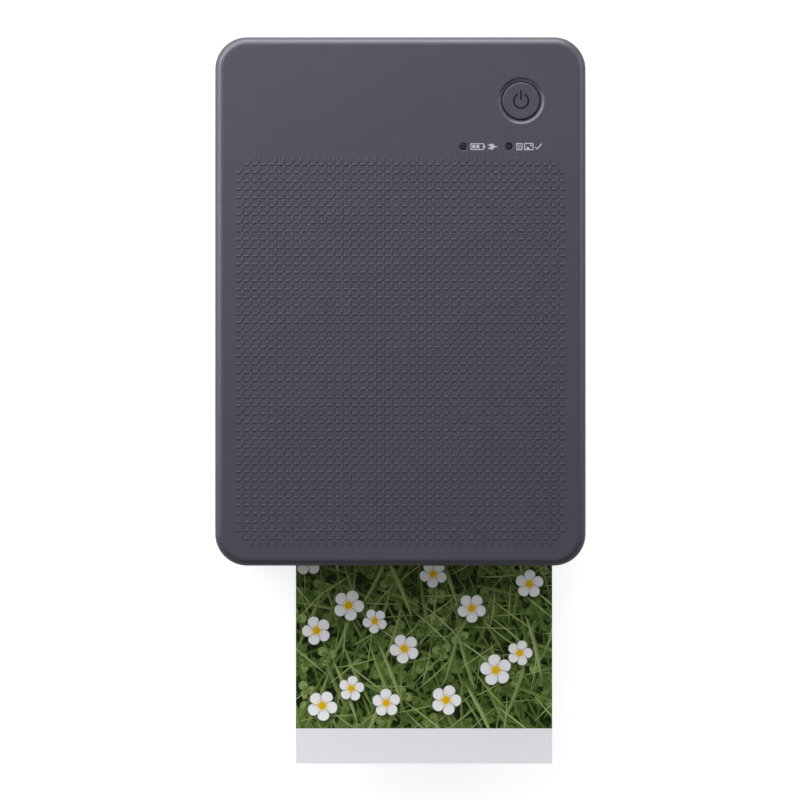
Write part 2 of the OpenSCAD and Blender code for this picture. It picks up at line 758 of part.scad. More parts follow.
// The cassette slides in through this plate, past the tongue that guides the head
module chassis_plate_right() {
    color([0.72, 0.73, 0.75]) difference() {
        plate_blank(right_in);
        plate_holes(right_in);
        difference() {
            box([right_in - 1, plate_front + 1.4, paper_z + 0.6],
                [right_out + 1, supply_y + chamber_out + 0.4, chamber_z + chamber_out + 0.2]);
            box([right_in - 2, head_y - 2.9, chamber_z - 4.4], [right_out + 2, head_y + 2.9, body_h]);
            box([right_in - 2, feed_y - 3, floor_z], [right_out + 2, feed_y + 3, pinch_z + pinch_r + 0.2]);
        }
    }
}

module head_bridge() {
    color([0.72, 0.73, 0.75]) box([left_in, head_y - 4, chamber_z + chamber_out + 0.3],
        [right_in, head_y + 4, chamber_z + chamber_out + 1.3]);
}

// Flanged bronze bushes that carry the feed roller and the platen
module shaft_bushes() {
    color([0.72, 0.5, 0.26]) for (at = [feed_at, [head_y, platen_z]], s = [0, 1]) difference() {
        union() {
            rod_x(at, shaft_r + 1, s == 0 ? left_out : right_in, s == 0 ? left_in : right_out);
            rod_x(at, shaft_r + 1.5, s == 0 ? left_in : right_in - 0.6, s == 0 ? left_in + 0.6 : right_in);
        }
        rod_x(at, shaft_r + running, left_out - 1, right_out + 1);
    }
}

module gear_posts() {
    color([0.7, 0.7, 0.72]) {
        rod_x(idler_at, post_r, layer_b - 0.15, left_out);
        rod_x(link_at, post_r, layer_a - 0.4, left_out);
        rod_x(transfer_at, post_r, layer_b - 0.15, left_out);
    }
}

module motor_bracket() {
    color([0.72, 0.73, 0.75]) difference() {
        union() {
            box([bracket_x, motor_at[0] - 9.5, floor_z],
                [bracket_x + bracket_t, motor_at[0] + 9.5, motor_at[1] + 8.5]);
            box([bracket_x - 7, motor_at[0] - 9.5, floor_z],
                [bracket_x + bracket_t, motor_at[0] + 9.5, floor_z + 0.8]);
        }
        rod_x(motor_at, 2.6, bracket_x - 1, bracket_x + 2);
        for (s = [-1, 1]) rod_x(motor_at + [s * 8, 6.2], 0.9, bracket_x - 1, bracket_x + 2);
    }
}

module motor_can() {
    color([0.6, 0.6, 0.62]) difference() {
        union() {
            rod_x(motor_at, motor_r, bracket_x - motor_l, bracket_x);
            rod_x(motor_at, 2.5, bracket_x - 1, bracket_x + bracket_t);
            for (s = [-1, 1]) rod_x(motor_at + [s * 8, 6.2], 1.6, bracket_x - 0.8, bracket_x);
            box([bracket_x - 0.8, motor_at[0] - 8, motor_at[1] + 4.8],
                [bracket_x, motor_at[0] + 8, motor_at[1] + 7.6]);
        }
        rod_x(motor_at, 0.8 + running, bracket_x - motor_l + 1, bracket_x + 2);
        for (s = [-1, 1]) rod_x(motor_at + [s * 8, 6.2], 0.9, bracket_x - 1, bracket_x + 1);
    }
}

module motor_screws() {
    color([0.6, 0.6, 0.62]) for (s = [-1, 1])
        translate([bracket_x + bracket_t, motor_at[0] + s * 8, motor_at[1] + 6.2]) rotate([0, -90, 0])
            cylinder(r = 0.85, h = bracket_t + 1.4);
}

module motor_pinion() {
    color([0.75, 0.65, 0.4]) {
        rod_x(motor_at, 0.8, bracket_x - motor_l + 1.2, layer_b + 0.2);
        gear(motor_at, small_teeth, pinion_phase, layer_b, 0.01);
    }
}

module idler_gear() {
    color([0.88, 0.87, 0.82]) {
        gear(idler_at, idler_teeth, idler_phase, layer_b, post_r + running);
        gear(idler_at, small_teeth, idler_phase, layer_a, post_r + running);
        difference() {
            rod_x(idler_at, post_r + 0.9, layer_b + gear_w - 0.1, layer_a + 0.1);
            rod_x(idler_at, post_r + running, layer_b, layer_a + 1);
        }
    }
}

module link_gear() {
    color([0.88, 0.87, 0.82]) gear(link_at, small_teeth, link_phase, layer_a, post_r + running);
}

module transfer_gear() {
    color([0.88, 0.87, 0.82]) {
        gear(transfer_at, feed_teeth, transfer_phase, layer_b, post_r + running);
        difference() {
            rod_x(transfer_at, post_r + 0.9, layer_b + gear_w - 0.1, left_out - 0.2);
            rod_x(transfer_at, post_r + running, layer_b, left_out);
        }
    }
}

// Driven past a slip clutch, so that the take-up spool keeps the film tight
module clutch_gear() {
    color([0.88, 0.87, 0.82]) {
        gear(takeup_at, clutch_teeth, clutch_phase, layer_a, 0.01);
        rod_x(takeup_at, journal_r + 0.4, layer_a + gear_w - 0.1, left_in - 0.1);
        rod_x(takeup_at, journal_r - 0.3, left_in - 0.2, cassette_left - 0.1);
    }
}

// Its one-way clutch turns the pickup shaft in one direction only
module pickup_gear() {
    color([0.88, 0.87, 0.82]) {
        gear(pickup_at, clutch_teeth, pickup_phase, layer_b, shaft_r + running);
        difference() {
            rod_x(pickup_at, shaft_r + 1, layer_b + gear_w - 0.1, left_out - 0.2);
            rod_x(pickup_at, shaft_r + running, layer_b, left_out);
        }
    }
}

module feed_roller() {
    color([0.62, 0.63, 0.66]) {
        rod_x(feed_at, feed_r, paper_x - roller_l / 2, paper_x + roller_l / 2);
        rod_x(feed_at, shaft_r, layer_a, right_out + 0.6);
    }
}

module feed_gear() {
    color([0.88, 0.87, 0.82]) gear(feed_at, feed_teeth, feed_phase, layer_a, shaft_r + 0.01);
}

module pinch_roller() {
    color([0.2, 0.2, 0.21]) {
        rod_x([feed_y, pinch_z], pinch_r, paper_x - roller_l / 2, paper_x + roller_l / 2);
        rod_x([feed_y, pinch_z], pinch_shaft_r, left_out - 0.1, right_out + 0.4);
    }
}

module platen_core() {
    color([0.62, 0.63, 0.66]) {
        rod_x([head_y, platen_z], shaft_r + 0.9, paper_x - roller_l / 2, paper_x + roller_l / 2);
        rod_x([head_y, platen_z], shaft_r, left_out - 0.1, right_out + 0.6);
    }
}

module platen_sleeve() {
    color([0.1, 0.1, 0.11]) difference() {
        rod_x([head_y, platen_z], platen_r, paper_x - roller_l / 2, paper_x + roller_l / 2);
        rod_x([head_y, platen_z], shaft_r + 0.91, paper_x - roller_l, paper_x + roller_l);
    }
}

module pickup_shaft() {
    color([0.62, 0.63, 0.66]) {
        rod_x(pickup_at, shaft_r, layer_b - 0.2, right_out + 0.6);
        for (s = [-1, 1]) rod_x(pickup_at, shaft_r + 1.4, paper_x + s * tyre_x - 5, paper_x + s * tyre_x + 5);
    }
}

module pickup_tyres() {
    color([0.1, 0.1, 0.11]) for (s = [-1, 1]) difference() {
        rod_x(pickup_at, pickup_r, paper_x + s * tyre_x - 4.4, paper_x + s * tyre_x + 4.4);
        rod_x(pickup_at, shaft_r + 1.41, paper_x + s * tyre_x - 6, paper_x + s * tyre_x + 6);
    }
}

// ---- print head ----

module head_carrier() {
    low = chamber_z - 5;
    color([0.12, 0.12, 0.13]) difference() {
        union() {
            box([paper_x - paper_w / 2, head_y - 2.6, low],
                [paper_x + paper_w / 2, head_y + 2.6, chamber_z + 1.5]);
            box([left_out - 0.6, head_y - 1.8, chamber_z - 3.4],
                [right_out + 0.6, head_y + 1.8, chamber_z + 0.2]);
        }
        for (s = [-1, 1]) translate([paper_x + s * spring_x, head_y, chamber_z - 1.7]) cylinder(r = 2.1, h = 5);
    }
}

module head_heatsink() {
    top = chamber_z - 5;
    color([0.8, 0.81, 0.83]) across(paper_x - paper_w / 2, paper_x + paper_w / 2) polygon([
        [head_y - 0.9, paper_top + 1.15], [head_y + 0.9, paper_top + 1.15],
        [head_y + 2.6, top - 0.5], [head_y + 2.6, top], [head_y - 2.6, top], [head_y - 2.6, top - 0.5]
    ]);
}

// Ceramic strip with the raised line of heaters
module head_element() {
    color([0.92, 0.9, 0.85]) across(paper_x - paper_w / 2, paper_x + paper_w / 2) union() {
        translate([head_y - 0.85, paper_top + 0.55]) square([1.7, 0.6]);
        translate([head_y, paper_top + 0.62]) circle(0.5);
    }
}

module head_springs() {
    color([0.7, 0.7, 0.72]) for (s = [-1, 1]) translate([paper_x + s * spring_x, head_y, chamber_z - 1.68])
        coil(1.5, 0.25, chamber_out + 0.3 + 1.66, 6);
}

// ---- ink cassette ----

module ink_film() {
    path = [
        tangent(film_out, takeup_at, takeup_film_r + film_t, 1),
        film_out, film_rest - [0.8, 0], film_rest + [0.8, 0], film_in,
        tangent(film_in, supply_at, supply_film_r + film_t, -1)
    ];
    color([0.35, 0.1, 0.3]) across(paper_x - paper_w / 2 - 0.4, paper_x + paper_w / 2 + 0.4)
        polygon(strip(path, film_t));
}

// C-shaped section of a film chamber, with its mouth turned to the head
module chamber_section(at, hand) {
    translate(at) mirror([hand < 0 ? 1 : 0, 0]) difference() {
        circle(chamber_out);
        circle(chamber_r);
        polygon([[0, 0], polar(9, 6), polar(9, -22), polar(9, -52)]);
    }
}

module cassette_end_section() {
    bar_low = paper_top + 0.7;
    translate(takeup_at) circle(chamber_out);
    translate(supply_at) circle(chamber_out);
    polygon([
        [takeup_y - 1, chamber_z - chamber_out + 0.02], [head_y - 4, bar_low], [head_y + 4, bar_low],
        [supply_y + 1, chamber_z - chamber_out + 0.02], [supply_y - 3, chamber_z - 2.6],
        [head_y + 3, bar_low + 2.4], [head_y - 3, bar_low + 2.4], [takeup_y + 3, chamber_z - 2.6]
    ]);
}

module cassette_shell() {
    color([0.13, 0.13, 0.14]) difference() {
        union() {
            across(cassette_left + 0.1, cassette_end - 0.1) {
                chamber_section(takeup_at, 1);
                chamber_section(supply_at, -1);
            }
            across(cassette_left, cassette_left + cap_t) cassette_end_section();
            across(cassette_right - cap_t, cassette_right) cassette_end_section();
            box([cassette_end - cap_t, takeup_y - chamber_out, paper_top + 0.7],
                [cassette_end, supply_y + chamber_out, chamber_z + chamber_out]);
            for (z = [chamber_z - 2, chamber_z + 0.8])
                box([cassette_end - 0.2, head_y - 8, z], [cassette_end + 0.3, head_y + 8, z + 1.2]);
        }
        for (at = [takeup_at, supply_at]) rod_x(at, journal_r + 0.1, cassette_left - 1, cassette_right + 0.1);
    }
}

module spool(at) {
    rod_x(at, core_r, cassette_left + cap_t + 0.3, cassette_right - cap_t - 0.3);
    rod_x(at, journal_r, cassette_left, cassette_right);
}

module film_roll(at, r) {
    difference() {
        rod_x(at, r, paper_x - paper_w / 2 - 0.4, paper_x + paper_w / 2 + 0.4);
        rod_x(at, core_r + 0.01, paper_x - paper_w, paper_x + paper_w);
    }
}

module takeup_core() {
    color([0.9, 0.9, 0.88]) spool(takeup_at);
}

module takeup_film() {
    color([0.3, 0.12, 0.35]) film_roll(takeup_at, takeup_film_r);
}

module supply_core() {
    color([0.9, 0.9, 0.88]) spool(supply_at);
}

module supply_film() {
    color([0.85, 0.65, 0.15]) film_roll(supply_at, supply_film_r);
}

// ---- paper ----

module paper_tray() {
    color([0.16, 0.16, 0.18]) difference() {
        union() {
            box([paper_x - tray_in - tray_t, stack_front + 0.7, tray_floor - 1],
                [paper_x + tray_in + tray_t, tray_rear + tray_t, tray_floor]);
            for (s = [-1, 1]) {
                x = paper_x + s * (tray_in + tray_t / 2) - tray_t / 2;
                box([x, stack_front + 0.7, tray_floor - 1], [x + tray_t, tray_rear + tray_t, paper_low - 0.6]);
                box([x, well_front - tray_t, tray_floor - 1], [x + tray_t, tray_rear + tray_t, deck_z]);
            }
            box([paper_x - tray_in - tray_t, tray_rear, tray_floor - 1],
                [paper_x + tray_in + tray_t, tray_rear + tray_t, deck_z]);
            box([paper_x - tray_in - tray_t, well_front - tray_t, paper_top + 1.6],
                [paper_x + tray_in + tray_t, well_front, deck_z]);
            for (i = [-3, -1, 1, 3]) {
                x = paper_x + i * paper_w / 7.2;
                box([x - 0.6, stack_front + 3, floor_z], [x + 0.6, tray_rear - 3, tray_floor - 0.5]);
            }
        }
        rod_x(lift_pivot, lift_pin_r + 0.08, paper_x - tray_in - 3, paper_x + tray_in + 3);
    }
}

module lift_plate() {
    half = paper_w / 2 - 0.2;
    color([0.72, 0.73, 0.75]) union() {
        box([paper_x - half, stack_front + 0.5, lift_low],
            [paper_x + half, tray_rear - 1.6, lift_low + lift_t]);
        rod_x(lift_pivot, lift_pin_r, paper_x - tray_in - tray_t + 0.2, paper_x + tray_in + tray_t - 0.2);
    }
}

module paper_stack() {
    color([0.95, 0.95, 0.93]) box([paper_x - paper_w / 2, stack_front, stack_low],
        [paper_x + paper_w / 2, stack_front + paper_l, stack_top]);
}

// Bent leaves that press the lift plate up to its stop
module lift_springs() {
    y0 = stack_front + 10;
    rise = lift_low - tray_floor;
    path = [
        [y0 + 12, tray_floor + 0.14], [y0 + 4, tray_floor + 0.14],
        [y0 - 2, lift_low - 0.14], [y0 - 4, lift_low - 0.14], [y0 - 5, tray_floor + 0.6 * rise]
    ];
    color([0.7, 0.7, 0.72]) for (s = [-1, 1])
        across(paper_x + s * leaf_x - 4, paper_x + s * leaf_x + 4) polygon(strip(path, 0.2));
}

module print_sheet() {
    color([0.36, 0.5, 0.2]) box([paper_x - paper_w / 2, front_y - print_out, paper_low],
        [paper_x + paper_w / 2, front_y - print_out + paper_l, paper_top]);
}

// ---- electronics ----

module main_board() {
    color([0.1, 0.3, 0.2]) difference() {
        box([-board_w / 2, board_front, board_z], [board_w / 2, board_rear, board_z + board_t]);
        for (s = [-1, 1], y = standoff_ys) translate([s * standoff_x, y, board_z - 1])
            cylinder(r = screw_r * 0.8 + 0.1, h = board_t + 2);
    }
}

module board_parts() {
    z = board_z + board_t;
    color([0.08, 0.08, 0.09]) {
        translate([-22, board_front + 4, z]) cube([11, 11, 1]);
        translate([-6, board_front + 5, z]) cube([9, 6, 1]);
        translate([6, board_front + 9, z]) cube([5, 5, 2.4]);
        translate([-34, board_front + 4, z]) cube([8, 3.4, 3]);
        for (i = [0 : 2]) translate([8 + i * 5, board_front + 16, z]) cylinder(r = 1.8, h = 3.4);
    }
}

module power_switch() {
    z = board_z + board_t;
    color([0.2, 0.2, 0.21]) translate([button_x, button_y, z]) {
        translate([-3, -3, 0]) cube([6, 6, 2.8]);
        cylinder(r = 1.7, h = 3.6);
    }
}

module lamp_leds() {
    color([0.9, 0.9, 0.85]) for (x = [charge_x, charge_x + lamp_pitch])
        translate([x, led_y, board_z + board_t]) cylinder(r = 1.2, h = 2.6);
}

module charging_socket() {
    z = board_z + board_t + socket_h / 2;
    back = -side_x + wall_t + 6.4;
    color([0.75, 0.75, 0.77]) union() {
        difference() {
            across(-side_x + 0.6, back) translate([socket_y, z]) slot_section(socket_w, socket_h);
            across(-side_x, back - 1) translate([socket_y, z]) slot_section(socket_w - 0.6, socket_h - 0.6);
        }
        box([-side_x + 1.4, socket_y - 3.3, z - 0.35], [back - 0.5, socket_y + 3.3, z + 0.35]);
    }
}

module battery_pack() {
    z0 = floor_z;
    y0 = board_front;
    color([0.25, 0.35, 0.55]) difference() {
        box([-battery_l / 2, y0, z0], [battery_l / 2, y0 + battery_w, z0 + battery_h]);
        for (s = [0, 1]) translate([0, y0 + s * battery_w, z0 + battery_h / 2])
            cube([0.6, 0.8, battery_h + 1], center = true);
    }
}

lower_case();
rubber_feet();
inner_deck();
exit_frame();
chassis_plate_left();
chassis_plate_right();
head_bridge();
shaft_bushes();
gear_posts();
motor_bracket();
motor_can();
paper_tray();
lift_springs();
main_board();
board_parts();
power_switch();
lamp_leds();
charging_socket();
battery_pack();
cover_hinge_pin();
door_hinge_pin();
case_screws();
deck_screws();
board_screws();
motor_screws();
cassette_shell();
ink_film();
head_springs();
top_cover();
charge_lamp();
status_lamp();
power_button();
cassette_door();
print_sheet();
feed_roller();
feed_gear();
pinch_roller();
platen_core();
platen_sleeve();
motor_pinion();
idler_gear();
link_gear();
clutch_gear();
transfer_gear();
pickup_gear();
pickup_shaft();
pickup_tyres();
takeup_core();
takeup_film();
supply_core();
supply_film();
head_carrier();
head_heatsink();
head_element();
lift_plate();
paper_stack();
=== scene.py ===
import json
import math

import bmesh
import bpy
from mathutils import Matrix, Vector


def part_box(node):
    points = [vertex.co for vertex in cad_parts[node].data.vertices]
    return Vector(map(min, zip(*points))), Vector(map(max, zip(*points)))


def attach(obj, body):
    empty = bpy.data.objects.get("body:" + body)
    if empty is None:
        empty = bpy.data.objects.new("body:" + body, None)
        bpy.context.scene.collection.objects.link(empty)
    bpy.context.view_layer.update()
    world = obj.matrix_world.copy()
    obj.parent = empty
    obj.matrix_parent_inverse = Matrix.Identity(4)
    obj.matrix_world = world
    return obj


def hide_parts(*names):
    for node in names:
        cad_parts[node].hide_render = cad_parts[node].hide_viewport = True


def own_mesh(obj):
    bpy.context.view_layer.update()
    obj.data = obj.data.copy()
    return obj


# Compact photo printer. Lengths here are in millimetres, and mm turns them into metres.
mm = 0.001
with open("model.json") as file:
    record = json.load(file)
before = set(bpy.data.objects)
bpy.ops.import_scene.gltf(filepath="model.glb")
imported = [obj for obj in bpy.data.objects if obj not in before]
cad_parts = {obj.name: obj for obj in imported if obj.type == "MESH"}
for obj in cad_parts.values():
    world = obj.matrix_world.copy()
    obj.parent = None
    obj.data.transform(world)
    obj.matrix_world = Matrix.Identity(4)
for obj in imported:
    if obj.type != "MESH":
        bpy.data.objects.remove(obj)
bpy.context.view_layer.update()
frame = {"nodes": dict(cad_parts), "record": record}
print("frame loaded")


def nothingSelected():
    if bpy.context.object and bpy.context.object.mode != "OBJECT":
        bpy.ops.object.mode_set(mode="OBJECT")
    bpy.ops.object.select_all(action="DESELECT")


def workOn(piece):
    nothingSelected()
    piece.select_set(True)
    bpy.context.view_layer.objects.active = piece


def nameIt(piece, name):
    piece.name = name
    piece.data.name = name
    return piece


def block(name, low, high):
    nothingSelected()
    middle = [(a + b) / 2 * mm for a, b in zip(low, high)]
    bpy.ops.mesh.primitive_cube_add(size=1, location=middle)
    piece = nameIt(bpy.context.object, name)
    piece.scale = [(b - a) * mm for a, b in zip(low, high)]
    bpy.ops.object.transform_apply(location=True, rotation=True, scale=True)
    return piece


def rod(name, middle, radius, length, axis, sides):
    nothingSelected()
    turn = {"X": (0, math.pi / 2, 0), "Z": (0, 0, 0)}[axis]
    bpy.ops.mesh.primitive_cylinder_add(vertices=sides, radius=radius * mm, depth=length * mm,
                                        location=[c * mm for c in middle], rotation=turn)
    piece = nameIt(bpy.context.object, name)
    bpy.ops.object.transform_apply(location=True, rotation=True, scale=True)
    return piece


# A round piece from its (radius, height) profile, a loop at a time from the bottom up
def turned(name, middle, profile, sides):
    nothingSelected()
    radius, height = profile[0]
    place = [middle[0] * mm, middle[1] * mm, height * mm]
    bpy.ops.mesh.primitive_circle_add(vertices=sides, radius=radius * mm, fill_type="NGON", location=place)
    piece = nameIt(bpy.context.object, name)
    bpy.ops.object.mode_set(mode="EDIT")
    bpy.ops.mesh.select_all(action="SELECT")
    for (oldRadius, oldHeight), (newRadius, newHeight) in zip(profile, profile[1:]):
        step = (0, 0, (newHeight - oldHeight) * mm)
        bpy.ops.mesh.extrude_region_move(TRANSFORM_OT_translate={"value": step})
        grow = newRadius / oldRadius
        bpy.ops.transform.resize(value=(grow, grow, 1), center_override=(place[0], place[1], newHeight * mm))
    bpy.ops.mesh.select_all(action="SELECT")
    bpy.ops.mesh.normals_make_consistent(inside=False)
    bpy.ops.object.mode_set(mode="OBJECT")
    bpy.ops.object.transform_apply(location=True, rotation=True, scale=True)
    return piece


# Enters edit mode with just the faces or edges chosen by test(middle in mm, normal or direction)
def pick(piece, kind, test):
    workOn(piece)
    bpy.ops.object.mode_set(mode="EDIT")
    bpy.ops.mesh.select_mode(type=kind)
    bpy.ops.mesh.select_all(action="DESELECT")
    mesh = bmesh.from_edit_mesh(piece.data)
    for item in {"FACE": mesh.faces, "EDGE": mesh.edges}[kind]:
        if kind == "FACE":
            middle, facing = item.calc_center_median() / mm, item.normal
        else:
            middle = (item.verts[0].co + item.verts[1].co) / 2 / mm
            facing = (item.verts[1].co - item.verts[0].co).normalized()
        if test(middle, facing):
            item.select_set(True)
    mesh.select_flush_mode()
    bmesh.update_edit_mesh(piece.data)


def leaveEdit():
    bpy.ops.object.mode_set(mode="OBJECT")


# A test for pick: edges that stand upright
def upright(_, along):
    return abs(along.z) > 0.9


def bevelPicked(width, segments):
    bpy.ops.mesh.bevel(offset=width * mm, segments=segments, affect="EDGES", profile=0.5)
    leaveEdit()


def outwards(piece):
    workOn(piece)
    bpy.ops.object.mode_set(mode="EDIT")
    bpy.ops.mesh.select_all(action="SELECT")
    bpy.ops.mesh.remove_doubles(threshold=0.000002)
    bpy.ops.mesh.normals_make_consistent(inside=False)
    leaveEdit()


# The tool is used up
def combine(piece, tool, operation):
    workOn(piece)
    step = piece.modifiers.new("combine", "BOOLEAN")
    step.operation = operation
    step.solver = "EXACT"
    step.object = tool
    bpy.ops.object.modifier_apply(modifier=step.name)
    spare = tool.data
    bpy.data.objects.remove(tool)
    bpy.data.meshes.remove(spare)


def softenEdges(piece, width, segments, angle=35):
    workOn(piece)
    step = piece.modifiers.new("soften", "BEVEL")
    step.width = width * mm
    step.segments = segments
    step.limit_method = "ANGLE"
    step.angle_limit = math.radians(angle)
    bpy.ops.object.modifier_apply(modifier=step.name)


def smooth(piece, angle):
    workOn(piece)
    bpy.ops.object.shade_smooth_by_angle(angle=math.radians(angle))


# Keeps flat faces flat to the eye beside their rounded edges
def levelNormals(piece):
    workOn(piece)
    step = piece.modifiers.new("level", "WEIGHTED_NORMAL")
    step.keep_sharp = True
    step.weight = 100
    bpy.ops.object.modifier_apply(modifier=step.name)


def joinPieces(pieces, name):
    nothingSelected()
    for piece in pieces:
        piece.select_set(True)
    bpy.context.view_layer.objects.active = pieces[0]
    bpy.ops.object.join()
    return nameIt(bpy.context.object, name)


def repeat(piece, count, step):
    workOn(piece)
    rows = piece.modifiers.new("repeat", "ARRAY")
    rows.use_relative_offset = False
    rows.use_constant_offset = True
    rows.constant_offset_displace = [s * mm for s in step]
    rows.count = count
    bpy.ops.object.modifier_apply(modifier=rows.name)


def linear(red, green, blue):
    def one(c):
        c /= 255
        return c / 12.92 if c <= 0.04045 else ((c + 0.055) / 1.055) ** 2.4
    return (one(red), one(green), one(blue), 1)


class Nodes:
    # Adds nodes to a tree; every value may be a number, a colour or another node's socket
    def __init__(self, tree):
        self.tree = tree

    def add(self, kind, **values):
        node = self.tree.nodes.new(kind)
        for key, value in values.items():
            setattr(node, key, value)
        return node

    def join(self, source, target):
        if hasattr(source, "is_output"):
            self.tree.links.new(source, target)
        else:
            target.default_value = source

    def fill(self, node, *values):
        for value, socket in zip(values, node.inputs):
            self.join(value, socket)
        return node.outputs[0]

    def math(self, operation, *values):
        return self.fill(self.add("ShaderNodeMath", operation=operation), *values)

    def between(self, value, low, high, newLow=0.0, newHigh=1.0, clamp=True):
        return self.fill(self.add("ShaderNodeMapRange", clamp=clamp), value, low, high, newLow, newHigh)

    def combine(self, x, y, z):
        return self.fill(self.add("ShaderNodeCombineXYZ"), x, y, z)

    def split(self, vector):
        node = self.add("ShaderNodeSeparateXYZ")
        self.join(vector, node.inputs[0])
        return node.outputs[0], node.outputs[1], node.outputs[2]

    def splitColour(self, colour):
        node = self.add("ShaderNodeSeparateColor")
        self.join(colour, node.inputs[0])
        return node.outputs[0], node.outputs[1], node.outputs[2]

    def mix(self, factor, first, second):
        node = self.add("ShaderNodeMix", data_type="RGBA")
        for value, socket in ((factor, 0), (first, 6), (second, 7)):
            self.join(value, node.inputs[socket])
        return node.outputs[2]

    def ramp(self, factor, stops):
        node = self.add("ShaderNodeValToRGB")
        self.join(factor, node.inputs[0])
        marks = node.color_ramp.elements
        marks[0].position, marks[0].color = stops[0]
        marks[1].position, marks[1].color = stops[-1]
        for position, colour in stops[1:-1]:
            marks.new(position).color = colour
        return node.outputs[0]


class Finish(Nodes):
    # A material under construction; sizes of its blotches, cells and bumps are in millimetres
    def __init__(self, name):
        self.material = bpy.data.materials.new(name)
        self.material.use_nodes = True
        super().__init__(self.material.node_tree)
        self.shader = self.tree.nodes["Principled BSDF"]
        self.place = self.add("ShaderNodeTexCoord").outputs["Object"]

    def set(self, **values):
        for key, value in values.items():
            self.join(value, self.shader.inputs[key.replace("_", " ")])

    def stretched(self, scale):
        node = self.add("ShaderNodeMapping", vector_type="TEXTURE")
        self.join(self.place, node.inputs["Vector"])
        node.inputs["Scale"].default_value = scale
        return node.outputs[0]

    def noise(self, size, detail=2.0, roughness=0.5, vector=None):
        node = self.add("ShaderNodeTexNoise")
        self.join(vector or self.place, node.inputs["Vector"])
        node.inputs["Scale"].default_value = 1 / (size * mm)
        node.inputs["Detail"].default_value = detail
        node.inputs["Roughness"].default_value = roughness
        return node.outputs[0]

    def cells(self, size):
        node = self.add("ShaderNodeTexVoronoi")
        self.join(self.place, node.inputs["Vector"])
        node.inputs["Scale"].default_value = 1 / (size * mm)
        return node

    def bump(self, height, depth, strength):
        node = self.add("ShaderNodeBump")
        node.inputs["Strength"].default_value = strength
        node.inputs["Distance"].default_value = depth * mm
        self.join(height, node.inputs["Height"])
        return node.outputs[0]


def grey(value):
    return (value, value, value, 1)


# Moulded plastic: a spark-eroded grain, faint blotches and a little variation in its shine
def mouldedPlastic(name, colour, grain, depth, roughness, variation=0.025, specular=0.5):
    f = Finish(name)
    fine = f.noise(grain, detail=3, roughness=0.6)
    broad = f.noise(9, detail=3)
    darker = [c * (1 - variation) for c in colour[:3]] + [1]
    lighter = [min(1, c * (1 + variation)) for c in colour[:3]] + [1]
    tone = f.ramp(broad, [(0.3, darker), (0.7, lighter)])
    f.set(Base_Color=tone)
    f.set(Roughness=f.between(fine, 0.25, 0.75, roughness - 0.05, roughness + 0.06))
    f.shader.inputs["Specular IOR Level"].default_value = specular
    f.set(Normal=f.bump(fine, depth, 0.6))
    return f.material


# Metal with fine drawing lines along one axis; its shine follows them, or else the flakes of a zinc coat
def sheetMetal(name, colour, roughness, along="Y", streak=0.08, spangle=0.0):
    f = Finish(name)
    thin = {"X": (20, 1, 1), "Y": (1, 20, 1)}[along]
    lines = f.noise(streak, detail=2, vector=f.stretched(thin))
    broad = f.noise(3.5, detail=2)
    dull = [c * 0.82 for c in colour[:3]] + [1]
    f.set(Base_Color=f.mix(f.between(broad, 0.35, 0.65), colour, dull))
    f.set(Metallic=1.0)
    if spangle:
        flakes = f.splitColour(f.cells(spangle).outputs["Color"])[0]
        rough = f.math("MULTIPLY_ADD", flakes, 0.14, roughness - 0.05)
    else:
        rough = f.between(lines, 0.3, 0.7, roughness - 0.06, roughness + 0.08)
    f.set(Roughness=rough, Normal=f.bump(lines, 0.004, 0.35))
    return f.material


def rubberFinish(name, colour, grain=0.25):
    f = Finish(name)
    fine = f.noise(grain, detail=4, roughness=0.65)
    dust = f.noise(4, detail=4)
    pale = [min(1, c * 1.9 + 0.01) for c in colour[:3]] + [1]
    f.set(Base_Color=f.mix(f.between(dust, 0.5, 0.8, 0, 0.5), colour, pale))
    f.set(Roughness=f.between(fine, 0.3, 0.7, 0.7, 0.88), Normal=f.bump(fine, 0.02, 0.6))
    return f.material


print("tools ready")


palette = {
    "shell": linear(61, 60, 71),
    "shellSide": linear(59, 58, 69),
    "inner": linear(36, 36, 39),
    "ink": linear(9, 9, 13),
    "mark": linear(168, 166, 177),
    "paper": linear(250, 248, 254),
    "paperShade": linear(245, 243, 249),
    "acetal": linear(222, 218, 203),
    "spool": linear(226, 226, 220),
    "deckInk": linear(112, 112, 118),
    "zinc": (0.62, 0.63, 0.65, 1),
    "steel": (0.55, 0.56, 0.58, 1),
    "nickel": (0.5, 0.5, 0.5, 1),
    "blackZinc": (0.1, 0.1, 0.11, 1),
    "bronze": (0.45, 0.28, 0.12, 1),
    "aluminium": (0.7, 0.71, 0.72, 1),
}

shellFinish = mouldedPlastic("shell plastic", palette["shell"], 0.2, 0.010, 0.42, specular=0.65)
caseFinish = mouldedPlastic("case plastic", palette["shellSide"], 0.2, 0.014, 0.48, specular=0.6)
innerFinish = mouldedPlastic("inner plastic", palette["inner"], 0.3, 0.02, 0.55, variation=0.15)
inkFinish = mouldedPlastic("dark ink", palette["ink"], 0.1, 0.004, 0.7, specular=0.15)
markFinish = mouldedPlastic("pale ink", palette["mark"], 0.1, 0.004, 0.6, variation=0.04)
acetalFinish = mouldedPlastic("acetal", palette["acetal"], 0.4, 0.006, 0.35, variation=0.04)
spoolFinish = mouldedPlastic("spool plastic", palette["spool"], 0.3, 0.01, 0.5, variation=0.04)
footFinish = rubberFinish("foot rubber", linear(42, 42, 44))
rollerFinish = rubberFinish("roller rubber", linear(34, 34, 36), grain=0.12)
zincFinish = sheetMetal("zinc plated sheet", palette["zinc"], roughness=0.34, spangle=1.4)
steelFinish = sheetMetal("bright steel", palette["steel"], roughness=0.24, streak=0.05)
nickelFinish = sheetMetal("nickel plate", palette["nickel"], roughness=0.22, along="X", streak=0.05)
screwFinish = sheetMetal("black zinc screws", palette["blackZinc"], roughness=0.4, streak=0.1)
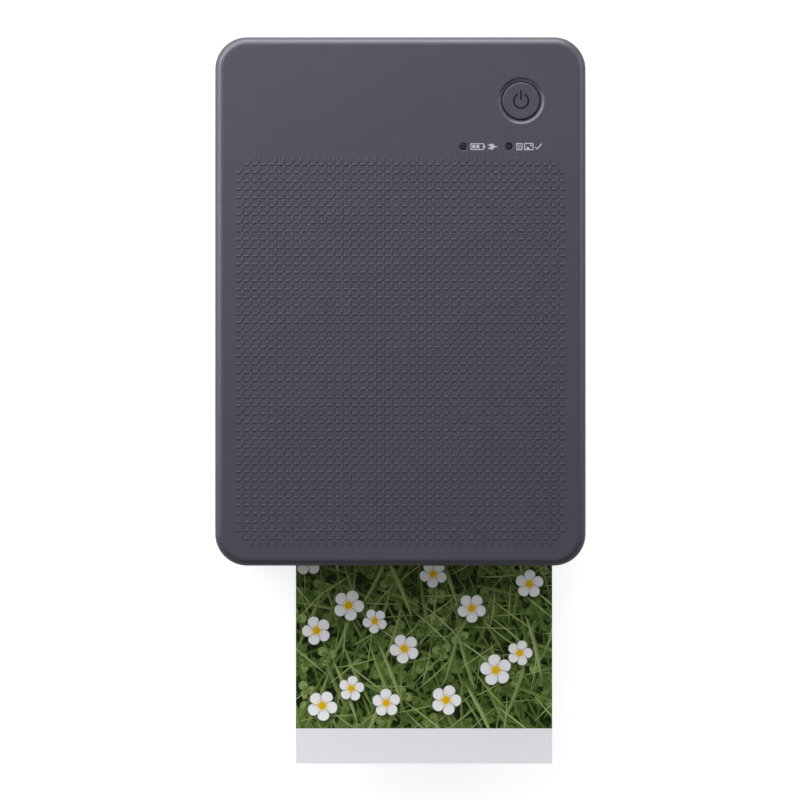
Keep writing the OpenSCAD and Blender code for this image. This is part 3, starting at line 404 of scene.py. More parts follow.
bronzeFinish = sheetMetal("sintered bronze", palette["bronze"], roughness=0.42, streak=0.06)
sinkFinish = sheetMetal("extruded aluminium", palette["aluminium"], roughness=0.3, along="X")


def lensFinish():
    f = Finish("smoked lens")
    cloud = f.noise(0.6, detail=2)
    f.set(Base_Color=f.mix(cloud, linear(20, 20, 27), linear(30, 30, 38)))
    f.set(Roughness=f.between(cloud, 0.3, 0.7, 0.5, 0.6), Specular_IOR_Level=0.25)
    return f.material


def ledFinish():
    f = Finish("led resin")
    cloud = f.noise(0.5, detail=2)
    f.set(Base_Color=f.mix(cloud, linear(226, 224, 205), linear(206, 204, 190)), Roughness=0.2)
    return f.material


def heaterFinish():
    f = Finish("glazed heater strip")
    low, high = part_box("head_element")
    middle = (low[1] + high[1]) / 2
    off = f.math("ABSOLUTE", f.math("SUBTRACT", f.split(f.place)[1], middle))
    line = f.math("LESS_THAN", off, 0.25 * mm)
    stain = f.noise(1.2, detail=3)
    body = f.mix(stain, linear(236, 231, 216), linear(220, 214, 198))
    f.set(Base_Color=f.mix(line, body, linear(88, 60, 40)), Roughness=f.between(stain, 0.3, 0.7, 0.12, 0.24))
    return f.material


# Thin film with fine creases that run along its roll
def filmFinish(name, first, second):
    f = Finish(name)
    crease = f.noise(0.35, detail=2, vector=f.stretched((25, 1, 1)))
    f.set(Base_Color=f.mix(f.between(crease, 0.35, 0.65), first, second))
    f.set(Roughness=f.between(crease, 0.3, 0.7, 0.14, 0.26), Normal=f.bump(crease, 0.02, 0.4))
    return f.material


def boardFinish():
    f = Finish("circuit board")
    x, y, _ = f.split(f.place)
    tracks = f.add("ShaderNodeTexBrick")
    f.join(f.combine(x, y, 0), tracks.inputs["Vector"])
    tracks.inputs["Scale"].default_value = 1 / (2.4 * mm)
    tracks.inputs["Mortar Size"].default_value = 0.05
    for socket, value in (("Color1", grey(0)), ("Color2", grey(0.35)), ("Mortar", grey(1))):
        tracks.inputs[socket].default_value = value
    vias = f.math("LESS_THAN", f.cells(2.1).outputs["Distance"], 0.13)
    mask = f.mix(tracks.outputs["Color"], linear(18, 74, 44), linear(34, 104, 62))
    f.set(Base_Color=f.mix(vias, mask, linear(196, 176, 110)))
    f.set(Roughness=f.between(f.noise(0.8), 0.3, 0.7, 0.22, 0.34))
    f.set(Normal=f.bump(tracks.outputs["Fac"], 0.02, 0.5))
    return f.material


def chipFinish():
    f = Finish("board parts")
    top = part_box("board_parts")[1][2]
    cans = f.math("GREATER_THAN", f.split(f.place)[2], top - 0.6 * mm)
    fine = f.noise(0.2, detail=3)
    dark = f.mix(f.between(fine, 0.3, 0.7), linear(30, 30, 32), linear(44, 44, 47))
    f.set(Base_Color=f.mix(cans, dark, linear(176, 178, 182)), Metallic=f.math("MULTIPLY", cans, 0.9))
    f.set(Roughness=f.between(fine, 0.3, 0.7, 0.4, 0.55), Normal=f.bump(fine, 0.01, 0.5))
    return f.material


def batteryFinish():
    f = Finish("battery wrap")
    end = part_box("battery_pack")[1][0]
    endBand = f.math("GREATER_THAN", f.math("ABSOLUTE", f.split(f.place)[0]), end - 4 * mm)
    wrinkle = f.noise(1.8, detail=4, vector=f.stretched((2.5, 1, 1)))
    blue = f.mix(f.between(wrinkle, 0.3, 0.7), linear(56, 84, 128), linear(66, 96, 142))
    f.set(Base_Color=f.mix(endBand, blue, linear(40, 40, 44)))
    f.set(Roughness=f.between(wrinkle, 0.3, 0.7, 0.24, 0.4), Normal=f.bump(wrinkle, 0.05, 0.5))
    return f.material


def paperFinish():
    f = Finish("blank coated paper")
    sheets = f.math("FRACT", f.math("DIVIDE", f.split(f.place)[2], 0.25 * mm))
    # Painted shade: a grey line at each sheet's height, where the gaps between the stacked sheets lie in
    # shade
    paintedGapShade = f.math("LESS_THAN", sheets, 0.2)
    fibre = f.noise(0.5, detail=4)
    body = f.mix(fibre, linear(238, 238, 236), linear(228, 228, 226))
    f.set(Base_Color=f.mix(f.math("MULTIPLY", paintedGapShade, 0.35), body, linear(150, 150, 150)))
    f.set(Roughness=f.between(fibre, 0.3, 0.7, 0.4, 0.5))
    return f.material


# The picture: white blossoms over clover and grass, between two bare strips
picture = {
    "border": 9.9,          # bare strip along the leading edge
    "length": 66.0,
    "blossoms": [           # across from the middle, along from the strip, radius, turn
        (-28.6, 6.4, 4.4, 0.2), (-20.4, 11.2, 3.7, 1.1), (-30.2, 27.5, 4.2, 0.6),
        (-10.6, 7.2, 4.1, 0.9), (-21.2, 34.6, 4.5, 0.1), (-13.8, 30.2, 3.6, 1.7),
        (-5.5, 22.4, 4.3, 0.5), (6.2, 8.0, 4.4, 1.3), (13.4, 33.8, 4.2, 0.3),
        (20.2, 16.4, 4.6, 0.8), (26.9, 21.2, 3.7, 0.0), (29.6, 40.6, 4.1, 1.0),
        (2.6, 43.4, 4.0, 0.4), (-32.6, 47.0, 4.2, 0.9), (-10.2, 54.8, 4.4, 0.2),
        (16.4, 55.6, 3.8, 1.2), (26.2, 60.2, 4.3, 0.7), (-24.4, 61.0, 3.9, 1.5),
    ],
    "leaves": [             # clover layers: size of a cell, turn of the layer, share shown, brightness
        (5.2, 0.4, 0.8, 0.6), (6.4, 1.7, 0.55, 0.85),
    ],
    "lowBlades": [          # grass layers: direction, length, width, share shown, brightness
        (0.3, 15, 1.1, 0.8, 0.42), (2.5, 13, 1.0, 0.8, 0.5), (1.6, 16, 1.2, 0.7, 0.55),
    ],
    "blades": [
        (0.9, 14, 0.9, 0.6, 0.65), (2.0, 18, 0.8, 0.55, 0.8), (2.8, 15, 1.2, 0.45, 0.75),
        (1.2, 20, 1.3, 0.4, 0.9), (0.1, 16, 0.6, 0.4, 1.0), (1.9, 22, 1.4, 0.25, 1.05),
        (0.7, 17, 0.5, 0.4, 1.25), (2.4, 19, 0.6, 0.35, 1.4), (1.45, 15, 0.5, 0.4, 1.15),
    ],
    "spacing": 3.4,         # between the blades of one layer
    "shine": 0.84,
}


class Pattern(Nodes):
    # A node group under construction, with its own inputs and outputs
    def __init__(self, name, inputs, outputs):
        tree = bpy.data.node_groups.new(name, "ShaderNodeTree")
        super().__init__(tree)
        for socket in inputs:
            tree.interface.new_socket(socket, in_out="INPUT", socket_type="NodeSocketFloat")
        for socket in outputs:
            tree.interface.new_socket(socket, in_out="OUTPUT", socket_type="NodeSocketFloat")
        self.entry = self.add("NodeGroupInput").outputs
        self.exit = self.add("NodeGroupOutput").inputs

    def give(self, **values):
        for name, value in values.items():
            self.join(value, self.exit[name])
        return self.tree

    # A straight line through (0, low) and (1, high)
    def line(self, value, low, high):
        return self.between(value, 0, 1, low, high, clamp=False)

    def limited(self, value):
        return self.math("MAXIMUM", self.math("MINIMUM", value, 1), 0)

    def reach(self, x, y):
        return self.math("SQRT", self.math("ADD", self.math("MULTIPLY", x, x), self.math("MULTIPLY", y, y)))


# A bent blade of grass, pointed at both ends, with a pale rib and one shaded side
def bladePattern():
    inputs = ("X", "Y", "Lean", "Bend", "Chance", "Length", "Width", "Share")
    p = Pattern("blade of grass", inputs, ("Mask", "Light"))
    x, y, lean = p.entry["X"], p.entry["Y"], p.line(p.entry["Lean"], -0.16, 0.16)
    y = p.math("SUBTRACT", y, p.math("MULTIPLY", x, lean))
    bend = p.math("MULTIPLY", p.line(p.entry["Bend"], -0.014, 0.014), p.math("MULTIPLY", x, x))
    y = p.math("SUBTRACT", y, bend)
    end = p.math("DIVIDE", x, p.math("MULTIPLY", p.entry["Length"], 0.5))
    taper = p.math("SUBTRACT", 1, p.math("MULTIPLY", end, end))
    half = p.math("MULTIPLY", taper, p.math("MULTIPLY", p.entry["Width"], 0.5))
    inside = p.math("MULTIPLY", p.math("SUBTRACT", half, p.math("ABSOLUTE", y)), 7)
    shown = p.math("LESS_THAN", p.entry["Chance"], p.entry["Share"])
    aside = p.math("DIVIDE", y, p.entry["Width"])
    rib = p.math("MAXIMUM", p.math("MULTIPLY", p.math("SUBTRACT", 0.09, p.math("ABSOLUTE", aside)), 2.2), 0)
    light = p.math("ADD", p.line(aside, 0.87, 1.37), rib)
    light = p.math("MULTIPLY", light, p.line(p.entry["Bend"], 0.72, 1.25))
    return p.give(Mask=p.math("MULTIPLY", inside, shown), Light=light)


# A clover leaf of three lobes with a pale crescent
def cloverPattern():
    p = Pattern("clover leaf", ("X", "Y", "Turn", "Tone", "Chance", "Size", "Share"), ("Mask", "Light"))
    x, y = p.entry["X"], p.entry["Y"]
    far = p.math("DIVIDE", p.reach(x, y), p.entry["Size"])
    angle = p.math("ADD", p.math("ARCTAN2", y, x), p.math("MULTIPLY", p.entry["Turn"], 6.28))
    lobe = p.math("POWER", p.math("ABSOLUTE", p.math("COSINE", p.math("MULTIPLY", angle, 1.5))), 0.5)
    rim = p.math("MULTIPLY", lobe, 0.47)
    inside = p.math("MULTIPLY", p.math("SUBTRACT", rim, far), 30)
    off = p.math("ABSOLUTE", p.math("SUBTRACT", far, p.math("MULTIPLY", rim, 0.6)))
    crescent = p.math("MAXIMUM", p.line(off, 0.35, -7.4), 0)
    light = p.math("ADD", p.line(far, 0.68, 1.5), crescent)
    light = p.math("MULTIPLY", light, p.line(p.entry["Tone"], 0.72, 1.25))
    shown = p.math("LESS_THAN", p.entry["Chance"], p.entry["Share"])
    return p.give(Mask=p.math("MULTIPLY", inside, shown), Light=light)


# Lays one blossom of five broad petals over those before it, with its yellow heart and its shadow
def blossomPattern():
    over = ("Petals", "Light", "Hearts", "Shadows")
    p = Pattern("blossom", ("Across", "Along", "X", "Y", "Radius", "Turn") + over, over)
    dx = p.math("SUBTRACT", p.entry["Across"], p.entry["X"])
    dy = p.math("SUBTRACT", p.entry["Along"], p.entry["Y"])
    far = p.math("DIVIDE", p.reach(dx, dy), p.entry["Radius"])
    angle = p.math("ADD", p.math("ARCTAN2", dy, dx), p.entry["Turn"])
    wave = p.math("ABSOLUTE", p.math("COSINE", p.math("MULTIPLY", angle, 2.5)))
    rim = p.math("ADD", p.math("MULTIPLY", p.math("POWER", wave, 0.4), 0.5), 0.5)
    petal = p.limited(p.math("MULTIPLY", p.math("SUBTRACT", rim, far), 16))
    tuck = p.math("FRACT", p.math("ADD", p.math("MULTIPLY", angle, 2.5 / math.pi), 0.5))
    vein = p.math("MULTIPLY", p.math("SINE", p.math("MULTIPLY", angle, 45)), 0.05)
    fold = p.math("MINIMUM", p.line(tuck, 0.45, 2.3), 1)
    light = p.math("ADD", fold, p.math("ADD", vein, p.line(far, -0.34, 0.09)))
    change = p.math("MULTIPLY", petal, p.math("SUBTRACT", light, p.entry["Light"]))
    heart = p.math("MULTIPLY", p.math("SUBTRACT", 0.29, far), 22)
    dots = p.math("GREATER_THAN", p.math("COSINE", p.math("MULTIPLY", angle, 14)), 0.2)
    ring = p.math("LESS_THAN", p.math("ABSOLUTE", p.math("SUBTRACT", far, 0.36)), 0.035)
    heart = p.limited(p.math("MAXIMUM", heart, p.math("MULTIPLY", dots, ring)))
    covered = p.math("MULTIPLY", p.entry["Hearts"], p.math("SUBTRACT", 1, petal))
    under = p.reach(p.math("SUBTRACT", dx, 0.45), p.math("ADD", dy, 0.55))
    shadow = p.math("MINIMUM", p.line(p.math("DIVIDE", under, p.entry["Radius"]), 2.0, 0.2), 0.6)
    return p.give(Petals=p.math("MAXIMUM", p.entry["Petals"], petal),
                  Light=p.math("ADD", p.entry["Light"], change),
                  Hearts=p.math("MAXIMUM", covered, heart),
                  Shadows=p.math("MAXIMUM", p.entry["Shadows"], shadow))


def pictureFinish():
    f = Finish("photo print")
    low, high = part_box("print_sheet")
    x, y, _ = f.split(f.place)
    across = f.math("DIVIDE", f.math("SUBTRACT", x, (low[0] + high[0]) / 2), mm)
    along = f.math("DIVIDE", f.math("SUBTRACT", y, low[1] + picture["border"] * mm), mm)
    green = [(0.0, linear(14, 28, 2)), (0.35, linear(62, 82, 30)),
             (0.65, linear(98, 120, 56)), (1.0, linear(158, 176, 112))]
    soil = f.noise(1.4, detail=5, roughness=0.7)
    ground = f.ramp(soil, [(0.38, linear(6, 14, 0)), (0.52, linear(26, 40, 6)), (0.7, linear(62, 76, 30))])

    def patterned(group, *values):
        node = f.add("ShaderNodeGroup", node_tree=group)
        f.fill(node, *values)
        return node.outputs

    # A layer of cells, turned and stretched: the place in its cell in mm, and three chances of the cell
    def layer(turn, length, width):
        aim = f.add("ShaderNodeMapping", vector_type="TEXTURE")
        f.join(f.place, aim.inputs["Vector"])
        aim.inputs["Location"].default_value = (turn * mm, turn * 2 * mm, 0)
        aim.inputs["Rotation"].default_value = (0, 0, turn)
        aim.inputs["Scale"].default_value = (length * mm, width * mm, 1)
        cells = f.add("ShaderNodeTexVoronoi", voronoi_dimensions="2D")
        f.join(aim.outputs[0], cells.inputs["Vector"])
        cells.inputs["Scale"].default_value = 1
        cells.inputs["Randomness"].default_value = 0.65
        inside = f.add("ShaderNodeVectorMath", operation="SUBTRACT")
        f.fill(inside, aim.outputs[0], cells.outputs["Position"])
        x, y, _ = f.split(inside.outputs[0])
        chances = f.splitColour(cells.outputs["Color"])
        return (f.math("MULTIPLY", x, length), f.math("MULTIPLY", y, width)) + chances

    def lay(ground, outputs, brightness):
        level = f.math("MULTIPLY", outputs["Light"], picture["shine"] * brightness)
        return f.mix(outputs["Mask"], ground, f.ramp(level, green))

    def layBlades(ground, layers):
        for turn, length, width, share, brightness in layers:
            cells = layer(turn, length, picture["spacing"])
            ground = lay(ground, patterned(blade, *cells, length, width, share), brightness)
        return ground

    clover, blade, blossom = cloverPattern(), bladePattern(), blossomPattern()
    ground = layBlades(ground, picture["lowBlades"])
    for size, turn, share, brightness in picture["leaves"]:
        ground = lay(ground, patterned(clover, *layer(turn, size, size), size, share), brightness)
    ground = layBlades(ground, picture["blades"])

    soFar = (0.0, 0.0, 0.0, 0.0)
    for x, y, radius, turn in picture["blossoms"]:
        soFar = tuple(patterned(blossom, across, along, x, y, radius, turn, *soFar))
    petals, light, hearts, shadows = soFar
    grain = f.cells(0.42).outputs["Distance"]
    white = [(0.3, linear(178, 184, 188)), (0.6, linear(238, 240, 243)), (0.85, linear(253, 253, 254))]
    ground = f.mix(shadows, ground, linear(12, 22, 5))
    ground = f.mix(petals, ground, f.ramp(light, white))
    ground = f.mix(hearts, ground, f.mix(grain, linear(255, 218, 16), linear(224, 166, 6)))

    # the strips, the edges and the back are bare paper
    fibre = f.noise(0.7, detail=3)
    bare = f.mix(fibre, palette["paper"], palette["paperShade"])
    facing = f.split(f.add("ShaderNodeNewGeometry").outputs["Normal"])[2]
    pastStrip = f.math("GREATER_THAN", along, 0)
    inside = f.math("MULTIPLY", pastStrip, f.math("LESS_THAN", along, picture["length"]))
    printed = f.math("MULTIPLY", inside, f.math("GREATER_THAN", facing, 0.5))
    f.set(Base_Color=f.mix(printed, bare, ground))
    f.set(Roughness=f.between(fibre, 0.3, 0.7, 0.30, 0.38), Specular_IOR_Level=0.1)
    return f.material


slotFinish = {
    "case_plastic": caseFinish, "cover_plastic": shellFinish, "inner_plastic": innerFinish,
    "lamp_lens": lensFinish(), "led_resin": ledFinish(),
    "foot_rubber": footFinish, "roller_rubber": rollerFinish,
    "plated_sheet": zincFinish, "steel": steelFinish, "screw_steel": screwFinish,
    "bronze": bronzeFinish, "motor_shell": nickelFinish, "gear_plastic": acetalFinish,
    "heat_sink": sinkFinish, "heater_strip": heaterFinish(), "spool_plastic": spoolFinish,
    "used_film": filmFinish("used film", linear(54, 30, 58), linear(40, 22, 46)),
    "fresh_film": filmFinish("fresh film", linear(214, 172, 44), linear(190, 148, 30)),
    "board_laminate": boardFinish(), "chip_resin": chipFinish(), "battery_wrap": batteryFinish(),
    "blank_paper": paperFinish(), "print_paper": pictureFinish(),
}
slotOf = {part["node"]: part["material_slot"] for part in frame["record"]["subparts"]}
for node, piece in frame["nodes"].items():
    piece.data.materials.clear()
    piece.data.materials.append(slotFinish[slotOf[node]])
print("finishes made")


def finishPiece(piece, material, body, replaced=()):
    piece.data.materials.clear()
    piece.data.materials.append(material)
    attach(piece, body)
    if replaced:
        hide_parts(*replaced)


def inMm(box):
    return [[c / mm for c in corner] for corner in box]


def middleInMm(box):
    return [(a + b) / 2 / mm for a, b in zip(*box)]


coverLow, coverHigh = inMm(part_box("top_cover"))
paperMiddle = 6.65          # across; the paper lies to one side of the printer's middle
cover = {                   # the face lies below the CAD's top, which leaves room for the grid
    "seam": 28.4, "face": coverHigh[2] - 0.26, "under": 30.9, "wall": 1.8,
    "corner": 8.8, "edge": 2.6, "cornerSteps": 18, "edgeSteps": 8,
    "cutLow": 27,           # where the cutters of its holes start
}
hinge = {                   # knuckle along the rear edge, notches for the lugs of the case, bore for the pin
    "radius": 3.1, "length": 102.0, "bore": 1.05, "boreLength": 86.6,
    "lug": 34, "notch": 3.5, "notchLength": 6.6,
    "trim": (20, 40, 0.04),     # low, high and inset of the outline that the knuckle keeps to
}
ribs = {                    # inside the cover: some across it, and some along it at these shares of its width
    "low": 30.1, "high": 31.0, "width": 1,
    "count": 5, "side": 49.5, "spacing": 20.08,
    "shares": (-3, -1, 1, 3), "span": 102.2, "parts": 8.5, "front": -71.3, "rear": 31.1,
}
tab = {"aside": 21.6, "half": 5, "front": -69.9, "rear": -69.1, "low": 25.8, "high": 31.0}
button = {
    "place": middleInMm(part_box("power_button"))[:2], "radius": 5.05, "top": cover["face"] - 0.12,
    "hole": 5.35, "dish": 6.45, "dishDepth": 0.55, "dishSteps": 8,
    "stem": 1.5, "flange": 6.3, "flangeLow": 29.8, "flangeHigh": 30.6,
    "crown": [(0, 0.2), (0.03, 0.09), (0.1, 0.03), (0.22, 0), (0.7, 0.02), (2.4, 0.07)],    # inwards, down
    "heart": (0.6, 0.09),   # radius, down
}
lamps = {
    "across": [middleInMm(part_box(n))[0] for n in ("charge_lamp", "status_lamp")], "row": 42.5,
    "hole": 1.03, "rim": 1.25, "rimLow": -0.15, "rimHigh": 0.07, "top": cover["face"] - 0.12,
    "crown": [(0.98, 0.16), (0.9, 0.08), (0.7, 0.02), (0.35, 0)],       # radius, down
    "foot": 1.3, "footTop": 30.88,
}


def outlineBlock(name, low, high, inset=0.0):
    piece = block(name, (coverLow[0] + inset, coverLow[1] + inset, low),
                  (coverHigh[0] - inset, coverHigh[1] - inset, high))
    pick(piece, "EDGE", upright)
    bevelPicked(cover["corner"] - inset, cover["cornerSteps"])
    return piece


def addHinge(shell):
    y, z = middleInMm(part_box("cover_hinge_pin"))[1:]
    knuckle = rod("knuckle", (0, y, z), hinge["radius"], hinge["length"], "X", 96)
    combine(knuckle, outlineBlock("trim", *hinge["trim"]), "INTERSECT")
    combine(shell, knuckle, "UNION")
    for side in (-1, 1):
        notch = rod("notch", (side * hinge["lug"], y, z), hinge["notch"], hinge["notchLength"], "X", 96)
        combine(shell, notch, "DIFFERENCE")
    combine(shell, rod("bore", (0, y, z), hinge["bore"], hinge["boreLength"], "X", 48), "DIFFERENCE")


# A dish and a hole for the button, and holes for the lamps
def cutOpenings(shell):
    b, low, top = button, cover["cutLow"], cover["face"]
    dish = [(b["hole"], low), (b["hole"], top - b["dishDepth"])]
    for i in range(1, b["dishSteps"] + 1):
        t = i / b["dishSteps"]
        dish.append((b["hole"] + (b["dish"] - b["hole"]) * t, top - b["dishDepth"] * (1 - t * t)))
    dish.append((b["dish"] + 1, top + 1.4))     # well clear of the face
    combine(shell, turned("dishCutter", b["place"], dish, 128), "DIFFERENCE")
    hole = [(lamps["hole"], low), (lamps["hole"], top + lamps["rimLow"])]
    hole.append((lamps["rim"], top + lamps["rimHigh"]))
    for x in lamps["across"]:
        combine(shell, turned("lampCutter", (x, lamps["row"]), hole, 48), "DIFFERENCE")


def addRibs(shell):
    r = ribs
    bars = []
    for i in range(1, r["count"] + 1):
        y = coverLow[1] + i * r["spacing"]
        bars.append(((-r["side"], y, r["low"]), (r["side"], y + r["width"], r["high"])))
    for share in r["shares"]:
        x = share * r["span"] / r["parts"]
        bars.append(((x, r["front"], r["low"]), (x + r["width"], r["rear"], r["high"])))
    for side in (-1, 1):
        x = paperMiddle + side * tab["aside"]
        bars.append(((x - tab["half"], tab["front"], tab["low"]),
                     (x + tab["half"], tab["rear"], tab["high"])))
    for low, high in bars:
        combine(shell, block("rib", low, high), "UNION")


def makeCover():
    top = cover["face"]
    shell = outlineBlock("coverShell", cover["seam"], top)
    pick(shell, "FACE", lambda middle, facing: facing.z < -0.9)
    bpy.ops.mesh.inset(thickness=cover["wall"] * mm)
    rise = (0, 0, (cover["under"] - cover["seam"]) * mm)
    bpy.ops.mesh.extrude_region_move(TRANSFORM_OT_translate={"value": rise})
    leaveEdit()
    outwards(shell)
    pick(shell, "EDGE", lambda middle, along: middle.z > top - 0.01 and abs(along.z) < 0.1)
    bevelPicked(cover["edge"], cover["edgeSteps"])
    addHinge(shell)
    cutOpenings(shell)
    addRibs(shell)
    smooth(shell, 30)
    levelNormals(shell)
    finishPiece(shell, shellFinish, "cover", ["top_cover"])


makeCover()
print("top cover made")


grid = {
    "pitch": 2.287, "columns": 39, "rows": 46, "middle": -13.85,
    "length": 1.50, "width": 0.56, "rise": 0.20, "sunk": 0.06,
    "endRound": 0.4, "topRound": 0.98,      # shares of the width and of the rise
    "cutOut": 0.3, "cutIn": -0.3,           # shares of the pitch, at the corners
}


# One dash, rounded at its ends and along its top, then rows and columns of it with the corners cut off.
# The cut goes through the corner dashes, so a few faces of each one's inner end are left there.
def makeDashes(name, across):
    g = grid
    lines, perLine = (g["rows"], g["columns"] + 1) if across else (g["columns"], g["rows"] + 1)
    firstLine, firstDash = -(lines - 1) / 2 * g["pitch"], -(perLine - 1) / 2 * g["pitch"]
    half = (g["length"] / 2, g["width"] / 2)
    if across:
        middle, size = (firstDash, g["middle"] + firstLine), half
        steps = ((g["pitch"], 0, 0), (0, g["pitch"], 0))
        beyond = (g["cutOut"], g["cutIn"])
    else:
        middle, size = (firstLine, g["middle"] + firstDash), half[::-1]
        steps = ((0, g["pitch"], 0), (g["pitch"], 0, 0))
        beyond = (g["cutIn"], g["cutOut"])
    top = cover["face"] + g["rise"]
    dash = block(name, (middle[0] - size[0], middle[1] - size[1], cover["face"] - g["sunk"]),
                 (middle[0] + size[0], middle[1] + size[1], top))
    pick(dash, "EDGE", upright)
    bevelPicked(g["width"] * g["endRound"], 2)
    pick(dash, "EDGE", lambda place, along: place.z > top - 0.01)
    bevelPicked(g["rise"] * g["topRound"], 2)
    smooth(dash, 40)
    repeat(dash, perLine, steps[0])
    repeat(dash, lines, steps[1])
    reachX = (g["columns"] - 1) / 2 * g["pitch"] + beyond[0] * g["pitch"]
    reachY = (g["rows"] - 1) / 2 * g["pitch"] + beyond[1] * g["pitch"]
    pick(dash, "FACE", lambda place, facing: abs(place.x) > reachX and abs(place.y - g["middle"]) > reachY)
    bpy.ops.mesh.delete(type="VERT")
    leaveEdit()
    finishPiece(dash, shellFinish, "cover")


makeDashes("gridAcross", True)
makeDashes("gridAlong", False)
print("grid made")


mark = {"ring": 2.0, "line": 0.42, "gap": 28, "barLow": 0.3, "barHigh": 3.0, "thick": 0.05, "under": 0.06}


def makeButton():
    b = button
    low = inMm(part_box("power_button"))[0][2]
    profile = [(b["stem"], low), (b["stem"], b["flangeLow"]), (b["flange"], b["flangeLow"]),
               (b["flange"], b["flangeHigh"]), (b["radius"], b["flangeHigh"])]
    profile += [(b["radius"] - inwards, b["top"] - down) for inwards, down in b["crown"]]
    profile.append((b["heart"][0], b["top"] - b["heart"][1]))
    cap = turned("buttonCap", b["place"], profile, 96)
    smooth(cap, 40)
    finishPiece(cap, shellFinish, "button", ["power_button"])


# The usual sign for power: an open ring and a bar, printed on the cap
def makeButtonMark():
    m = mark
    x, y = button["place"]
    middle, half = button["top"] - m["under"], m["line"] / 2
    ring = rod("buttonMark", (x, y, middle), m["ring"] + half, m["thick"] * 2, "Z", 96)
    combine(ring, rod("inside", (x, y, middle), m["ring"] - half, 1, "Z", 96), "DIFFERENCE")
    aside = m["ring"] * math.sin(math.radians(m["gap"]))
    combine(ring, block("notch", (x - aside, y, middle - 1), (x + aside, y + 3, middle + 1)), "DIFFERENCE")
    bar = block("bar", (x - half, y + m["barLow"], middle - m["thick"]),
                (x + half, y + m["barHigh"], middle + m["thick"]))
    both = joinPieces([ring, bar], "buttonMark")
    softenEdges(both, 0.015, 1)
    finishPiece(both, inkFinish, "button")


makeButton()
makeButtonMark()
print("button made")


def makeLamp(name, x, node):
    low, high = inMm(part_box(node))
    y, foot = lamps["row"], lamps["foot"]
    profile = [(lamps["crown"][0][0], low[2])]
    profile += [(radius, lamps["top"] - down) for radius, down in lamps["crown"]]
    lens = turned(name, (x, y), profile, 48)
    pipe = block("pipe", (x - foot, y - foot, low[2]), (x + foot, high[1], lamps["footTop"]))
    combine(lens, pipe, "UNION")
    softenEdges(lens, 0.06, 2, 50)
    smooth(lens, 40)
    finishPiece(lens, slotFinish["lamp_lens"], "cover", [node])


makeLamp("chargeLens", lamps["across"][0], "charge_lamp")
makeLamp("statusLens", lamps["across"][1], "status_lamp")


# Drawings of printed signs. Frames and bars are x0, y0, x1, y1; discs are x, y, radius and sides;
# strokes are x, y, degrees, reach and width.
sign = {"above": 0.03, "below": 0.02, "fromLamp": 2.0}
batteryAndPlug = {
    "line": 0.24,
    "frames": [(0, -0.9, 3.7, 0.9)],
    "bars": [(3.7, -0.36, 4.05, 0.36), (0.5, -0.46, 1.35, 0.46), (1.6, -0.46, 2.45, 0.46),
             (4.75, -0.57, 5.35, -0.33), (4.75, 0.33, 5.35, 0.57),
             (5.35, -0.78, 6.3, 0.78), (6.3, -0.42, 6.65, 0.42), (6.65, -0.12, 7.5, 0.12)],
    "discs": [],
    "strokes": [],
}
sheetPictureAndTick = {
    "line": 0.24,
    "frames": [(0, -0.98, 1.7, 0.98), (2.2, -0.98, 4.7, 0.98)],
    "bars": [(0.48, 0.3, 1.22, 0.48), (0.48, -0.12, 1.22, 0.06), (0.48, -0.54, 1.22, -0.36)],
    "discs": [(3.2, -0.38, 0.58, 3), (4.05, 0.35, 0.25, 16)],       # hill and sun
    "strokes": [(5.75, -0.7, 135, 0.8, 0.3), (5.75, -0.7, 52, 1.9, 0.3)],
}


# A bar from the corner x, y outwards, turned by so many degrees
def stroke(x, y, degrees, reach, width, low, high):
    turn = math.radians(degrees)
    middle = (x + reach / 2 * math.cos(turn), y + reach / 2 * math.sin(turn), (low + high) / 2)
    nothingSelected()
    bpy.ops.mesh.primitive_cube_add(size=1, location=[c * mm for c in middle], rotation=(0, 0, turn))
    piece = nameIt(bpy.context.object, "part")
    piece.scale = [c * mm for c in (reach, width, high - low)]
    bpy.ops.object.transform_apply(location=True, rotation=True, scale=True)
    return piece


# The parts of a drawing, at x, y and between two heights
def drawnParts(drawing, x, y, low, high):
    def flat(x0, y0, x1, y1):
        return block("part", (x + x0, y + y0, low), (x + x1, y + y1, high))

    parts, line = [], drawing["line"]
    for x0, y0, x1, y1 in drawing["frames"]:
        parts += [flat(x0, y0, x1, y0 + line), flat(x0, y1 - line, x1, y1),
                  flat(x0, y0 + line, x0 + line, y1 - line), flat(x1 - line, y0 + line, x1, y1 - line)]
    for bar in drawing["bars"]:
        parts.append(flat(*bar))
    for dx, dy, radius, sides in drawing["discs"]:
        parts.append(rod("part", (x + dx, y + dy, (low + high) / 2), radius, high - low, "Z", sides))
    for dx, dy, *way in drawing["strokes"]:
        parts.append(stroke(x + dx, y + dy, *way, low, high))
    return parts


def makeSign(name, lampX, drawing):
    x, y = lampX + sign["fromLamp"], lamps["row"]
    low, high = cover["face"] - sign["below"], cover["face"] + sign["above"]
    whole = joinPieces(drawnParts(drawing, x, y, low, high), name)
    softenEdges(whole, 0.012, 1)
    finishPiece(whole, markFinish, "cover")


makeSign("chargeSign", lamps["across"][0], batteryAndPlug)
makeSign("statusSign", lamps["across"][1], sheetPictureAndTick)
print("lamps and signs made")


# Moulded parts of the CAD with their edges rounded off, and smoothly shaded copies of the springs
bodies = frame["record"]["behaviour"]["bodies"]
bodyOf = {node: body for body, nodes in bodies.items() for node in nodes}
softened = {                # radius of the edges
    "lower_case": 0.25, "cassette_door": 0.25, "inner_deck": 0.25, "exit_frame": 0.25, "paper_tray": 0.2,
}
springs = {                 # joint, height of the end that stays, share of the height that is left
    "head_springs": ("head_lift", 26.525, 0.7),
    "lift_springs": ("lift_tilt", 6.2, 0.29),
}


def copyOf(node):
    first, *rest = node.split("_")
    name = first + "".join(word.title() for word in rest)
    piece = bpy.data.objects.new(name, frame["nodes"][node].data.copy())
    piece.data.name = piece.name
    bpy.context.scene.collection.objects.link(piece)
    outwards(piece)
    return piece


